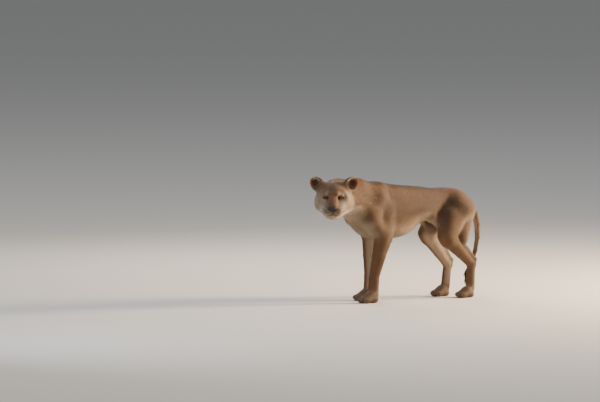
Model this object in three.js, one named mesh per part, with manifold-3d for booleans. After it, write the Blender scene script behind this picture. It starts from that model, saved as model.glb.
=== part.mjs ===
// A life-size lioness that stands with her head turned to her left, in mm.
// She faces -X, her left side is -Y, +Z is up.
// Her shape is one field of blended muscles: tapered rods and ovals joined smoothly.
// Each body part is meshed from that field at a grain that suits it, then parted from its neighbours
// by thin flat cuts.
import * as THREE from "three";
import { mergeVertices } from "three/addons/utils/BufferGeometryUtils.js";
import Module from "manifold-3d";

const wasm = await Module();
wasm.setup();

// Heights above the floor and lengths from the withers, which stand over X = 0.
const withersHeight = 847;
const elbowHeight = 472;
const wristHeight = 172;
const kneeHeight = 456;
const hockHeight = 250;
const armTop = elbowHeight - 12;
const chestHeight = 660;
const loinHeight = 734;
const legSpread = 112;
const footSpread = 97;
const eyeRadius = 19;
const eyeSpread = 56;
const earHalfWidth = 49;
const earHalfHeight = 52;
const gap = 0.35;

// Grain: the sizes of the grid cells that each part is meshed on, along its own three axes.
const trunkGrain = [64, 46, 50];
const lowerGrain = [28, 28, 74];
const footGrain = [26, 13.8, 27];
const tailGrain = [20, 20, 56];
const headGrain = [25, 22, 24];

// Head: where the point between the eyes is, and how it is turned from the body's line.
const headYaw = THREE.MathUtils.degToRad(55);
const headPitch = THREE.MathUtils.degToRad(14);
const eyeLine = new THREE.Vector3(-443, -164, 803);

const vec = (x, y, z) => new THREE.Vector3(x, y, z);
const headForward = vec(
  -Math.cos(headYaw) * Math.cos(headPitch),
  -Math.sin(headYaw) * Math.cos(headPitch),
  -Math.sin(headPitch),
);
const headLeft = vec(Math.sin(headYaw), -Math.cos(headYaw), 0);
const headUp = vec().crossVectors(headForward, headLeft);

// A point or a direction given in the head's own forward, left and up.
const headDirection = ([f, s, u]) =>
  vec()
    .addScaledVector(headForward, f)
    .addScaledVector(headLeft, s)
    .addScaledVector(headUp, u);
const headPoint = (p) => headDirection(p).add(eyeLine);
const headAxes = [headForward, headLeft, headUp];

// Axes of a shape that leans by pitch about Y and yaw about Z, in degrees, within the given axes.
function leaning(pitch = 0, yaw = 0, axes = [vec(1, 0, 0), vec(0, 1, 0), vec(0, 0, 1)]) {
  const p = THREE.MathUtils.degToRad(pitch);
  const y = THREE.MathUtils.degToRad(yaw);
  const own = [
    [Math.cos(y) * Math.cos(p), Math.sin(y) * Math.cos(p), -Math.sin(p)],
    [-Math.sin(y), Math.cos(y), 0],
    [Math.cos(y) * Math.sin(p), Math.sin(y) * Math.sin(p), Math.cos(p)],
  ];
  return own.map((row) =>
    axes.reduce((sum, axis, i) => sum.addScaledVector(axis, row[i]), vec()),
  );
}

// Axes of a shape whose first axis is forward and whose third is as near as it can be to up.
function facing(forward, up) {
  const f = forward.clone().normalize();
  const u = up.clone().addScaledVector(f, -up.dot(f)).normalize();
  return [f, vec().crossVectors(u, f), u];
}

// A rod from a to b, ra thick at a and rb at b. flat over 1 makes it thinner from side to side.
function rod(a, b, ra, rb, blend = 30, flat = 1) {
  const [ax, ay, az] = a.toArray();
  const ab = b.clone().sub(a);
  const length2 = Math.max(ab.lengthSq(), 1e-9);
  const distance = (x, y, z) => {
    let qx = x - ax;
    let qy = y - ay;
    let qz = z - az;
    const t = Math.min(1, Math.max(0, (qx * ab.x + qy * ab.y + qz * ab.z) / length2));
    qx -= t * ab.x;
    qy = (qy - t * ab.y) * flat;
    qz -= t * ab.z;
    return Math.hypot(qx, qy, qz) - (ra + (rb - ra) * t);
  };
  return { distance, blend, adds: true };
}

// An oval round centre with three radii along its axes. A carving oval takes material away.
function oval(centre, radii, blend = 30, axes = leaning(), adds = true) {
  const [rx, ry, rz] = radii;
  const [e0, e1, e2] = axes;
  const distance = (x, y, z) => {
    const qx = x - centre.x;
    const qy = y - centre.y;
    const qz = z - centre.z;
    const a = (qx * e0.x + qy * e0.y + qz * e0.z) / rx;
    const b = (qx * e1.x + qy * e1.y + qz * e1.z) / ry;
    const c = (qx * e2.x + qy * e2.y + qz * e2.z) / rz;
    const k0 = Math.hypot(a, b, c);
    return (k0 * (k0 - 1)) / Math.max(Math.hypot(a / rx, b / ry, c / rz), 1e-9);
  };
  return { distance, blend, adds };
}

function smoothMin(a, b, k) {
  const h = Math.max(k - Math.abs(a - b), 0) / k;
  return Math.min(a, b) - (h * h * k) / 4;
}

const fieldOf = (shapes) => (x, y, z) => {
  let d = 1e3;
  for (const s of shapes) {
    const own = s.distance(x, y, z);
    d = s.adds ? smoothMin(d, own, s.blend) : -smoothMin(-d, own, s.blend);
  }
  return d;
};

function trunkShapes() {
  const shapes = [
    oval(vec(140, 0, chestHeight), [275, 150, 194], 40, leaning(2)),
    oval(vec(-35, 0, 640), [150, 108, 168], 60, leaning(-12)),
    oval(vec(60, 0, 796), [170, 62, 72], 60),
    oval(vec(480, 0, loinHeight), [270, 114, 95], 60),
    oval(vec(300, 0, 752), [195, 86, 94], 60),
    oval(vec(350, 0, 684), [245, 140, 100], 60),
    oval(vec(685, 0, 720), [150, 106, 92], 60, leaning(8)),
    rod(vec(560, 0, 652), vec(640, 0, 584), 58, 40, 50),
    rod(vec(740, 0, 712), vec(800, 0, 698), 66, 46, 50),
  ];
  for (const s of [-1, 1]) {
    shapes.push(
      rod(vec(38, s * 46, withersHeight), vec(-20, s * 92, 730), 34, 56, 40),
      rod(vec(0, s * 88, 765), vec(-86, s * 104, 645), 62, 72, 40),
      rod(vec(700, s * 62, 720), vec(752, s * 78, 668), 84, 96, 50),
    );
  }
  return shapes;
}

// A foot whose ball is over x and y, with four toes towards -X. size scales its width.
function footShapes(x, y, size) {
  const shapes = [
    oval(vec(x - 2, y, 40), [50 * size, 47 * size, 44], 22),
    oval(vec(x + 22, y, 22), [32 * size, 38 * size, 26], 14),
    oval(vec(x - 36 * size, y, 25), [46 * size, 49 * size, 23], 12),
  ];
  for (const i of [-1.5, -0.5, 0.5, 1.5]) {
    const back = 6 * i * i;
    const wristEnd = vec(x - 14 + back / 2, y + i * 16 * size, 56);
    const knuckle = vec(x - 58 * size + back, y + i * 24 * size, 34);
    const toe = vec(x - 70 * size + back, y + i * 26 * size, 23);
    shapes.push(rod(wristEnd, knuckle, 20 * size, 16 * size, 14), oval(toe, [28 * size, 17 * size, 22], 6));
  }
  return shapes;
}

// stance: where the elbow, wrist and ball of the foot stand along X.
function forelegShapes(side, stance) {
  const { elbow, wrist, ball } = stance;
  const y0 = side * legSpread;
  const y1 = side * (footSpread + 1);
  const middle = vec(
    elbow * 0.55 + wrist * 0.45,
    (y0 + y1) / 2,
    elbowHeight * 0.55 + wristHeight * 0.45,
  );
  return [
    rod(vec(-86, side * 106, 635), vec(elbow - 5, y0, elbowHeight + 25), 72, 63, 40),
    rod(vec(elbow + 35, side * 92, 705), vec(elbow + 30, y0, elbowHeight + 50), 54, 56, 45),
    rod(vec(elbow + 38, side * 110, elbowHeight + 60), vec(elbow + 48, y0, elbowHeight + 14), 40, 28, 22),
    rod(vec(elbow, y0, elbowHeight + 10), middle, 63, 51, 20, 1.08),
    rod(middle, vec(wrist, y1, wristHeight + 6), 51, 40, 8, 1.05),
    rod(vec(elbow + 32, y0, elbowHeight - 10), vec(wrist + 14, y1, wristHeight + 60), 37, 27, 24),
    rod(vec(wrist, y1, wristHeight + 6), vec(ball + 20, y1, 70), 40, 42, 10),
    oval(vec(wrist + 34, y1 + side * 4, wristHeight - 24), [9, 11, 14], 14),
    ...footShapes(ball, y1, 1.08),
  ];
}

function hindLegShapes(side, stance) {
  const { knee, kneeZ, hock, hockZ, ball } = stance;
  const y1 = side * (footSpread - 1);
  const y0 = side * legSpread;
  const middle = vec(knee * 0.45 + hock * 0.55, side * 104, kneeZ * 0.42 + hockZ * 0.58);
  return [
    rod(vec(712, side * 74, 680), vec(knee + 12, y0, kneeZ + 10), 98, 66, 45, 1.05),
    rod(vec(800, side * 58, 650), vec((knee + hock) / 2 + 26, side * 100, kneeZ - 10), 66, 44, 45, 1.05),
    rod(vec(620, side * 88, 628), vec(knee - 6, side * 106, kneeZ + 20), 66, 54, 40),
    rod(vec(knee - 6, y0, kneeZ + 20), vec(knee + 10, y0, kneeZ - 20), 54, 48, 24),
    rod(vec(knee - 40, side * 80, kneeZ + 100), vec(knee - 105, side * 78, kneeZ + 156), 26, 30, 60),
    rod(vec(knee + 20, y0, kneeZ - 15), middle, 62, 44, 24, 1.1),
    rod(middle, vec(hock - 10, y1, hockZ - 6), 44, 34, 8, 1.08),
    rod(vec(knee * 0.4 + hock * 0.6, side * 102, kneeZ - 50), vec(hock + 20, y1, hockZ + 28), 25, 17, 26),
    rod(vec(hock + 22, y1, hockZ + 26), vec(hock + 12, y1, hockZ - 14), 19, 24, 14),
    rod(vec(hock - 8, y1, hockZ - 4), vec(ball + 6, y1, 74), 33, 35, 12),
    ...footShapes(ball - 20, y1, 0.98),
  ];
}

// The tail hangs behind her in a long S, thick at the root, with a tuft at its end.
const tailLine = [
  [800, 0, 704, 46],
  [862, 0, 680, 37],
  [912, 0, 624, 29],
  [938, 2, 540, 23.5],
  [944, 6, 440, 20],
  [930, 12, 340, 18],
  [906, 18, 250, 21],
  [888, 22, 176, 32],
  [874, 26, 112, 10],
];

function tailShapes() {
  const shapes = [];
  for (let i = 0; i + 1 < tailLine.length; i++) {
    const [ax, ay, az, ra] = tailLine[i];
    const [bx, by, bz, rb] = tailLine[i + 1];
    shapes.push(rod(vec(ax, ay, az), vec(bx, by, bz), ra, rb, i > 1 ? 8 : 40));
  }
  return shapes;
}

function neckShapes() {
  return [
    rod(vec(30, 0, 784), vec(-140, -6, 826), 90, 92, 60),
    rod(vec(-140, -6, 826), vec(-300, -18, 832), 92, 88, 30),
    rod(vec(-40, 0, 675), vec(-310, -42, 758), 118, 88, 70),
    rod(vec(-20, 0, 730), vec(-345, -40, 800), 110, 94, 60),
    rod(vec(-76, -96, 668), vec(-236, -82, 744), 56, 60, 50),
    rod(vec(-76, 96, 668), vec(-236, 30, 744), 56, 60, 50),
  ];
}

// All head places are in her own forward, left and up, from the point between her eyes.
const headRod = (a, b, ra, rb, blend = 18) => rod(headPoint(a), headPoint(b), ra, rb, blend);
const headOval = (c, radii, blend = 18, pitch = 0, yaw = 0, adds = true) =>
  oval(headPoint(c), radii, blend, leaning(pitch, yaw, headAxes), adds);

function headShapes() {
  const shapes = [
    headOval([-92, 0, 4], [108, 86, 76], 30),
    headOval([-46, 0, 12], [66, 76, 50], 30, 12),
    headRod([4, 0, 4], [112, 0, -40], 32, 24, 22),
    headRod([16, 0, -58], [90, 0, -80], 58, 42, 30),
  ];
  for (const s of [-1, 1]) {
    shapes.push(
      headRod([10, s * 15, 7], [108, s * 15, -42], 20, 18, 14),
      headRod([16, s * 28, 21], [-24, s * 66, 24], 15, 20, 22),
      headOval([-42, s * 78, -36], [60, 42, 60], 34),
      headOval([-80, s * 93, -66], [60, 46, 74], 34),
      headRod([72, s * 38, -76], [-22, s * 72, -54], 32, 44, 26),
      headRod([64, s * 34, -118], [-50, s * 70, -100], 29, 44, 26),
      headRod([6, s * 48, -34], [-14, s * 86, -26], 20, 24, 24),
      headRod([-98, s * 62, 16], [-112, s * 104, 48], 56, 46, 30),
    );
  }
  shapes.push(headOval([82, 0, -122], [42, 48, 27], 10));
  for (const s of [-1, 1]) {
    shapes.push(headOval([88, s * 36, -80], [46, 36, 35], 12, 0, s * 8));
  }
  shapes.push(
    headRod([-120, 0, -24], [-190, 0, -24], 82, 82, 50),
    headOval([-60, 0, -90], [84, 78, 54], 40),
    headOval([119, 0, -50], [20, 27, 14], 6, -16),
    headOval([123, 0, -66], [15, 15, 14], 6),
  );
  for (const s of [-1, 1]) {
    shapes.push(
      headOval([120, s * 19, -55], [15, 11.5, 12], 5),
      headOval([14, s * 60, -1], [24, 27, 16], 20, 0, 0, false),
    );
  }
  return shapes;
}

const stances = {
  foreleg_left: { side: -1, elbow: 18, wrist: -46, ball: -72 },
  foreleg_right: { side: 1, elbow: 52, wrist: 40, ball: 14 },
  hind_leg_left: { side: -1, knee: 588, kneeZ: kneeHeight - 2, hock: 828, hockZ: hockHeight + 8, ball: 806 },
  hind_leg_right: { side: 1, knee: 560, kneeZ: kneeHeight + 6, hock: 744, hockZ: hockHeight - 7, ball: 710 },
};
const field = fieldOf([
  ...trunkShapes(),
  ...forelegShapes(-1, stances.foreleg_left),
  ...forelegShapes(1, stances.foreleg_right),
  ...hindLegShapes(-1, stances.hind_leg_left),
  ...hindLegShapes(1, stances.hind_leg_right),
  ...tailShapes(),
  ...neckShapes(),
  ...headShapes(),
]);

// The frame that a mesh's grid is laid in: its origin and its three axes.
const bodyFrame = { origin: vec(0, 0, 0), axes: [vec(1, 0, 0), vec(0, 1, 0), vec(0, 0, 1)] };
const headFrame = { origin: eyeLine, axes: headAxes };

// A closed mesh of the field inside the box from low to high, whose cells have the sizes in cell.
// It has one vertex in each cell that the surface crosses, moved onto the surface, and two triangles
// for each grid edge that it crosses.
function meshField(low, high, cell, frame = bodyFrame) {
  const n = low.map((v, a) => Math.ceil((high[a] - v) / cell[a]) + 1);
  const at = (i, j, k) => (i * n[1] + j) * n[2] + k;
  const place = (p) =>
    frame.axes.reduce((sum, axis, a) => sum.addScaledVector(axis, p[a]), frame.origin.clone());
  const value = new Float64Array(n[0] * n[1] * n[2]);
  const onBorder = (corner) => corner.some((v, a) => v === 0 || v === n[a] - 1);
  eachCell(n, (i, j, k) => {
    const { x, y, z } = place([i, j, k].map((v, a) => low[a] + v * cell[a]));
    const d = field(x, y, z);
    value[at(i, j, k)] = onBorder([i, j, k]) ? Math.max(d, cell[0] / 2) : d;
  });
  while (fillPinches(n, value, at));

  const positions = [];
  const index = new Int32Array(value.length).fill(-1);
  const cells = n.map((v) => v - 1);
  eachCell(cells, (i, j, k) => {
    const sum = [0, 0, 0];
    let hits = 0;
    for (let c = 0; c < 24; c++) {
      const axis = c >> 3;
      const start = [c & 1, (c >> 1) & 1, (c >> 2) & 1];
      if (start[axis]) continue;
      const end = start.map((v, a) => (a === axis ? 1 : v));
      const va = value[at(i + start[0], j + start[1], k + start[2])];
      const vb = value[at(i + end[0], j + end[1], k + end[2])];
      if (va < 0 === vb < 0) continue;
      start.forEach((v, a) => (sum[a] += a === axis ? va / (va - vb) : v));
      hits++;
    }
    if (!hits) return;
    const p = place([i, j, k].map((v, a) => low[a] + (v + sum[a] / hits) * cell[a]));
    const inside = [i, j, k].every((v, a) => v > 0 && v < cells[a] - 1);
    index[at(i, j, k)] = positions.length / 3;
    positions.push(...(inside ? ontoSurface(p, Math.min(...cell) / 2) : p).toArray());
  });

  const faces = [];
  eachCell(cells, (...start) => {
    for (let axis = 0; axis < 3; axis++) {
      const end = start.map((v, a) => v + (a === axis));
      const inside = value[at(...start)] < 0;
      if (inside === value[at(...end)] < 0) continue;
      const [u, v] = [(axis + 1) % 3, (axis + 2) % 3];
      const vertex = (du, dv) => index[at(...start.map((w, a) => w - (a === u) * du - (a === v) * dv))];
      const ring = [vertex(0, 0), vertex(1, 0), vertex(1, 1), vertex(0, 1)];
      if (!inside) ring.reverse();
      faces.push(ring[0], ring[1], ring[2], ring[0], ring[2], ring[3]);
    }
  });
  return new wasm.Manifold(
    new wasm.Mesh({
      numProp: 3,
      vertProperties: new Float32Array(positions),
      triVerts: new Uint32Array(faces),
    }),
  );
}

// Where solid corners meet only across the diagonal of a cell's side, the mesh would pinch to an edge,
// so one of the two corners between them is filled. Says whether it filled any.
function fillPinches(n, value, at) {
  let filled = false;
  for (const [u, v] of [[0, 1], [1, 2], [2, 0]]) {
    const last = n.map((count, a) => (a === u || a === v ? count - 1 : count));
    eachCell(last, (...start) => {
      const corner = (du, dv) => at(...start.map((w, a) => w + (a === u) * du + (a === v) * dv));
      const ring = [corner(0, 0), corner(1, 0), corner(1, 1), corner(0, 1)];
      const [a, b, c, d] = ring.map((i) => value[i] < 0);
      if (a !== c || b !== d || a === b) return;
      value[a ? ring[1] : ring[0]] = -1;
      filled = true;
    });
  }
  return filled;
}

function eachCell(n, visit) {
  for (let i = 0; i < n[0]; i++) {
    for (let j = 0; j < n[1]; j++) {
      for (let k = 0; k < n[2]; k++) visit(i, j, k);
    }
  }
}

// Moves a point along the field's slope to its surface, by at most limit.
function ontoSurface(start, limit) {
  const h = 0.5;
  const at = (p) => field(p.x, p.y, p.z);
  const p = start.clone();
  for (let round = 0; round < 3; round++) {
    const slopes = bodyFrame.axes.map((axis) => {
      const after = at(p.clone().addScaledVector(axis, h));
      const before = at(p.clone().addScaledVector(axis, -h));
      return (after - before) / (2 * h);
    });
    const slope = vec(...slopes);
    p.addScaledVector(slope, -at(p) / Math.max(slope.lengthSq(), 0.1));
  }
  return start.clone().add(p.sub(start).clampLength(0, limit));
}

// A three.js geometry, placed by a matrix, as a solid.
function solidOf(geometry, matrix) {
  const g = geometry.clone().applyMatrix4(matrix);
  g.deleteAttribute("normal");
  g.deleteAttribute("uv");
  const merged = mergeVertices(g, 1e-3);
  return new wasm.Manifold(
    new wasm.Mesh({
      numProp: 3,
      vertProperties: merged.attributes.position.array,
      triVerts: new Uint32Array(merged.index.array),
    }),
  );
}

// Everything behind a flat cut: through point, with outward pointing away from what is kept.
const reach = 3000;
function behind(point, outward, shift = 0) {
  const axes = facing(outward, Math.abs(outward.z) > 0.9 ? vec(1, 0, 0) : vec(0, 0, 1));
  const middle = point.clone().addScaledVector(axes[0], shift - reach / 2);
  const matrix = new THREE.Matrix4().makeBasis(...axes).setPosition(middle);
  return solidOf(new THREE.BoxGeometry(reach, reach, reach), matrix);
}

// A wedge is what lies behind all of its cuts. Grown, it is what its neighbour leaves free for it.
const wedge = (cuts, shift) =>
  cuts.map(([point, outward]) => behind(point, outward, shift)).reduce((a, b) => a.intersect(b));
const flip = ([point, outward]) => [point, outward.clone().negate()];

const floorCut = [vec(0, 0, 0), vec(0, 0, -1)];
const neckCut = [vec(-150, 0, 770), vec(1, 0.06, 0.32).normalize()];
const headCut = [headPoint([-136, 0, -20]), headDirection([-1, 0.2, -0.12]).normalize()];
const bellyFront = [vec(240, 0, 0), vec(1, 0, 0)];
const bellyRear = [vec(520, 0, 0), vec(1, 0, 0)];
const chestUnder = [vec(0, 0, armTop), vec(0, 0, -1)];
const groinUnder = [vec(0, 0, kneeHeight + 38), vec(0, 0, -1)];
const tailCut = [vec(872, 0, 678), vec(1, 0, 0)];
const tailMiddleCut = [vec(944, 6, 440), vec(0, 0, -1)];
const tuftCut = [vec(906, 18, 246), vec(-0.2, 0, -1).normalize()];
const muzzleCut = [headPoint([46, 0, 0]), headDirection([-1, 0, 0])];
const noseCuts = [
  [headPoint([115, 0, -50]), headDirection([-1, 0, 0])],
  [headPoint([120, 0, -76]), headDirection([0, 0, -1])],
  [headPoint([120, 0, -34]), headDirection([0.5, 0, 1]).normalize()],
];
const jawCut = [headPoint([100, 0, -107]), headDirection([-0.1, 0, 1]).normalize()];
const jawRear = [headPoint([6, 0, 0]), headDirection([-1, 0, 0])];

function limbCuts(name) {
  const { side, elbow, wrist, knee, kneeZ, hock, hockZ } = stances[name];
  if (name.startsWith("fore")) {
    const top = [vec(0, side * 60, 835), vec(0.2, -side * 0.3, 1).normalize()];
    const inner = [vec(0, side * 78, 630), vec(0, -side, 0.18).normalize()];
    const front = [vec(-190, 0, 650), vec(-1, 0, 0)];
    const rear = [vec(118, 0, 690), vec(1, 0, -0.15).normalize()];
    const low = [vec(elbow, 0, armTop), vec(0, 0, -1)];
    const ankle = [vec(wrist, 0, wristHeight - 6), vec(0, 0, -1)];
    return { upper: [top, inner, front, rear, low], low, ankle };
  }
  const top = [vec(700, side * 80, 756), vec(-0.1, -side * 0.35, 1).normalize()];
  const inner = [vec(700, side * 62, 630), vec(0, -side, 0.17).normalize()];
  const front = [vec(knee - 74, 0, kneeZ), vec(-1, 0, 0)];
  const low = [vec(knee + 10, 0, kneeZ - 42), vec(0.35, 0, -1).normalize()];
  const ankle = [vec(hock, 0, hockZ - 14), vec(0.12, 0, -1).normalize()];
  return { upper: [top, inner, front, low], low, ankle };
}

const colours = {
  coat: 0xb08a5c,
  paleCoat: 0xcdb28a,
  ear: 0x9a744a,
  tuft: 0x2e2119,
  eye: 0x9c6a1e,
  leather: 0x5a4038,
};
const pieces = new Map();
const keep = (solid, cuts) => cuts.reduce((s, [p, o]) => s.intersect(behind(p, o, -gap)), solid);

// The largest of a solid's bodies, so that a sliver left by a cut is dropped.
function largest(solid) {
  return solid.decompose().reduce((a, b) => (b.volume() > a.volume() ? b : a));
}

function addPiece(name, solid, colour) {
  pieces.set(name, { solid: largest(solid), colour });
}

// An ear is a cup turned about its own forward axis and stretched to its width and height.
// Its seat is the same cup, solid and a gap larger.
const earProfile = [[0, -30], [0.55, -26], [0.9, -12], [1, 4], [0.95, 10], [0.82, 0], [0.5, -13], [0, -17]];
const earSeat = [[0, -31], [0.56, -27], [0.92, -12.5], [1.02, 4], [0.97, 10.6], [0, 10.6]];
function earShape(profile, centre, [forward, side, up]) {
  const cup = new THREE.LatheGeometry(profile.map((p) => new THREE.Vector2(...p)), 12);
  const matrix = new THREE.Matrix4()
    .makeBasis(side.clone().negate(), forward, up)
    .scale(vec(earHalfWidth, 1, earHalfHeight))
    .setPosition(centre);
  return solidOf(cup, matrix);
}

const ears = [1, -1].map((s) => {
  const lean = facing(headDirection([1, s * 0.42, 0.1]), headDirection([-0.3, s * 0.75, 1]));
  const root = headPoint([-112, s * 128, 66]);
  return { cup: earShape(earProfile, root, lean), seat: earShape(earSeat, root, lean) };
});

// Trunk, neck, shoulders and thighs are cut from one mesh, so they meet flush.
const body = meshField([-480, -264, 370], [1020, 264, 970], trunkGrain);
const upperWedges = [];
for (const [name, { side }] of Object.entries(stances)) {
  const isFore = name.startsWith("fore");
  const { upper, low, ankle } = limbCuts(name);
  upperWedges.push(wedge(upper, gap));
  const x = isFore ? [-260, 180] : [440, 980];
  const y = side < 0 ? [-250, -20] : [20, 250];
  const parts = isFore ? ["shoulder", "forearm", "forepaw"] : ["thigh", "shank", "hind_foot"];
  const names = parts.map((part) => part + (side < 0 ? "_left" : "_right"));
  const middle = meshField(
    [x[0], y[0], ankle[0].z - 2 * lowerGrain[2]],
    [x[1], y[1], low[0].z + 2 * lowerGrain[2]],
    lowerGrain,
  );
  const row = side * footSpread - 4.5 * footGrain[1];
  const foot = meshField(
    [x[0], row, -30],
    [x[1], row + 9 * footGrain[1], ankle[0].z + 3 * footGrain[2]],
    footGrain,
  );
  addPiece(names[0], keep(body, upper), colours.coat);
  addPiece(names[1], keep(middle, [flip(low), ankle]), colours.coat);
  addPiece(names[2], keep(foot, [flip(ankle)]).intersect(behind(...floorCut)), colours.coat);
}
const seats = ears.map(({ seat }) => seat);
const core = [...upperWedges, ...seats].reduce((solid, hole) => solid.subtract(hole), body);
addPiece("neck", keep(core, [neckCut, flip(headCut)]), colours.coat);
addPiece("chest", keep(core, [flip(neckCut), bellyFront, chestUnder]), colours.coat);
addPiece("belly", keep(core, [flip(bellyFront), bellyRear, groinUnder]), colours.coat);
addPiece("hindquarters", keep(core, [flip(bellyRear), tailCut, groinUnder]), colours.coat);

// Tail in three lengths, the last one its tuft.
const tail = meshField([790, -56, 32], [1010, 68, 770], tailGrain);
addPiece("tail_root", keep(tail, [flip(tailCut), tailMiddleCut]), colours.coat);
addPiece("tail_end", keep(tail, [flip(tailMiddleCut), tuftCut]), colours.coat);
addPiece("tail_tuft", keep(tail, [flip(tuftCut)]), colours.tuft);

// Head, with its two eyes.
const headBox = [[-220, -190, -230], [170, 190, 170]];
const unitBall = (across, high) => new THREE.SphereGeometry(1, across, high);
const placed = (ball, centre, radii, axes) =>
  solidOf(ball, new THREE.Matrix4().makeBasis(...axes).scale(vec(...radii)).setPosition(centre));
const eyeBall = unitBall(10, 8);

let head = keep(meshField(...headBox, headGrain, headFrame), [headCut]);

for (const s of [1, -1]) {
  const side = s > 0 ? "left" : "right";
  const eye = headPoint([0, s * eyeSpread, 0]);
  const gaze = facing(headDirection([1, s * 0.3, 0.06]), headDirection([0, s * 0.34, 1]));
  head = head.subtract(placed(eyeBall, eye, Array(3).fill(eyeRadius + gap), gaze));
  addPiece("eye_" + side, placed(eyeBall, eye, Array(3).fill(eyeRadius), gaze), colours.eye);
}
head = seats.reduce((solid, seat) => solid.subtract(seat), head);
ears.forEach(({ cup }, i) => addPiece(i ? "ear_right" : "ear_left", cup, colours.ear));
const noseHole = wedge(noseCuts, gap);
const jawHole = wedge([jawRear, jawCut], gap);
const muzzleHole = wedge([muzzleCut, flip(jawCut)], gap);
addPiece("nose", keep(head, noseCuts), colours.leather);
addPiece("muzzle", keep(head, [muzzleCut, flip(jawCut)]).subtract(noseHole), colours.paleCoat);
addPiece("lower_jaw", keep(head, [jawRear, jawCut]), colours.paleCoat);
addPiece("head", head.subtract(muzzleHole).subtract(jawHole), colours.coat);

// The whole, moved so that the middle of its outline stands over the origin.
const lioness = new THREE.Group();
for (const [name, { solid, colour }] of pieces) {
  const { numProp, vertProperties, triVerts, numVert } = solid.getMesh();
  const positions = new Float32Array(numVert * 3);
  for (let i = 0; i < numVert; i++) {
    positions.set(vertProperties.subarray(i * numProp, i * numProp + 3), i * 3);
  }
  const geometry = new THREE.BufferGeometry()
    .setAttribute("position", new THREE.BufferAttribute(positions, 3))
    .setIndex(new THREE.BufferAttribute(triVerts, 1));
  geometry.computeVertexNormals();
  const eyeball = name.startsWith("eye_");
  const material = new THREE.MeshStandardMaterial({
    color: colour,
    roughness: eyeball ? 0.1 : 0.85,
    metalness: 0,
  });
  const mesh = new THREE.Mesh(geometry, material);
  mesh.name = name;
  lioness.add(mesh);
}
const bounds = new THREE.Box3().setFromObject(lioness);
lioness.position.set(-(bounds.min.x + bounds.max.x) / 2, -(bounds.min.y + bounds.max.y) / 2, -bounds.min.z);

export default lioness;
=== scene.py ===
import math
import time

import bmesh
import bpy
import numpy as np
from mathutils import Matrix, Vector


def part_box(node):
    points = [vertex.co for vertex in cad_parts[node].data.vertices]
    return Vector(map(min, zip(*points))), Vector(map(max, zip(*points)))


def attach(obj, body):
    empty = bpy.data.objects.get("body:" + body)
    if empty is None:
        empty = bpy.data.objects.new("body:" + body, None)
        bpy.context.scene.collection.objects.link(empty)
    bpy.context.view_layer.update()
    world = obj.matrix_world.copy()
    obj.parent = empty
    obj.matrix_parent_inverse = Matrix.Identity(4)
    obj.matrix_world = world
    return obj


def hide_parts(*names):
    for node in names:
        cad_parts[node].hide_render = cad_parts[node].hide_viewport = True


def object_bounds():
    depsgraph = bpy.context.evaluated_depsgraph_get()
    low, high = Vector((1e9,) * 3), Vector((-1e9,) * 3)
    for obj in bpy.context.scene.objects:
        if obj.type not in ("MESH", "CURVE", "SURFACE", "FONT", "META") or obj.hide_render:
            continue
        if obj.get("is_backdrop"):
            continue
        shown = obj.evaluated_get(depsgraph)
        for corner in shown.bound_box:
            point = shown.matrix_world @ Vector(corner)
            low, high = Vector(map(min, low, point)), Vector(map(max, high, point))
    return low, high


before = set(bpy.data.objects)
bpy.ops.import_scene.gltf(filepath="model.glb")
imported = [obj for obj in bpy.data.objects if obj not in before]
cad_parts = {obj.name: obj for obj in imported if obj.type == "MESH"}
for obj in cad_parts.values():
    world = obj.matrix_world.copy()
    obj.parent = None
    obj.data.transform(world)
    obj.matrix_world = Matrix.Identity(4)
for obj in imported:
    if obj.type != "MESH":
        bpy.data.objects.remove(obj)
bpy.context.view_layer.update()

startTime = time.time()


def report(stage):
    print(f"{time.time() - startTime:6.1f} s  {stage}")


# #rrggbb as linear red, green, blue and alpha
def srgb(code):
    parts = [int(code[i:i + 2], 16) / 255 for i in (1, 3, 5)]
    return [c / 12.92 if c <= 0.04045 else ((c + 0.055) / 1.055) ** 2.4 for c in parts] + [1.0]


# 0 at low, 1 at high, smooth between; low may be the larger of the two
def fade(x, low, high):
    t = np.clip((x - low) / (high - low), 0, 1)
    return t * t * (3 - 2 * t)


def lengthOf(rows):
    return np.linalg.norm(rows, axis=1)


def unit(v):
    return v / np.maximum(np.linalg.norm(v, axis=-1, keepdims=True), 1e-9)


# Rows: forward, the side to its left, and up made square to forward
def frameOf(forward, up):
    f = unit(np.array(forward, float))
    u = np.array(up, float)
    u = unit(u - f * (u @ f))
    return np.stack([f, np.cross(u, f), u])


# Rows are the axes of a shape that leans by pitch about y and yaw about z, in degrees
def leaning(pitch=0, yaw=0):
    p, y = math.radians(pitch), math.radians(yaw)
    return np.array([
        [math.cos(y) * math.cos(p), math.sin(y) * math.cos(p), -math.sin(p)],
        [-math.sin(y), math.cos(y), 0],
        [math.cos(y) * math.sin(p), math.sin(y) * math.sin(p), math.cos(p)],
    ])


# The way out to a place at this azimuth and elevation, in degrees. Azimuth 0 is -Y and 90 is +X.
def wayOut(azimuth, elevation):
    a, e = math.radians(azimuth), math.radians(elevation)
    return Vector((math.sin(a) * math.cos(e), -math.cos(a) * math.cos(e), math.sin(e)))


# Adds a node with its properties, and its inputs by name or index. An input is a value,
# a socket, or a node whose first output is meant.
def addNode(tree, kind, settings=None, links=None):
    node = tree.nodes.new(kind)
    for key, value in (settings or {}).items():
        setattr(node, key, value)
    for key, value in (links or {}).items():
        if isinstance(value, bpy.types.Node):
            value = value.outputs[0]
        if isinstance(value, bpy.types.NodeSocket):
            tree.links.new(value, node.inputs[key])
        else:
            node.inputs[key].default_value = value
    return node


# The camera stands far off with a long lens, a little above her back, ahead of her left shoulder
cameraSizes = {
    "lens": 300,
    "sensor": 36,
    "distance": 37.0,
    "azimuth": -32,
    "elevation": 4,
    "aimLeft": 0.533,  # how far left of the withers it aims, and how far below them
    "aimDown": 0.152,
    "clipEnd": 200,
}
withers = (0, 0, 898)

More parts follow.
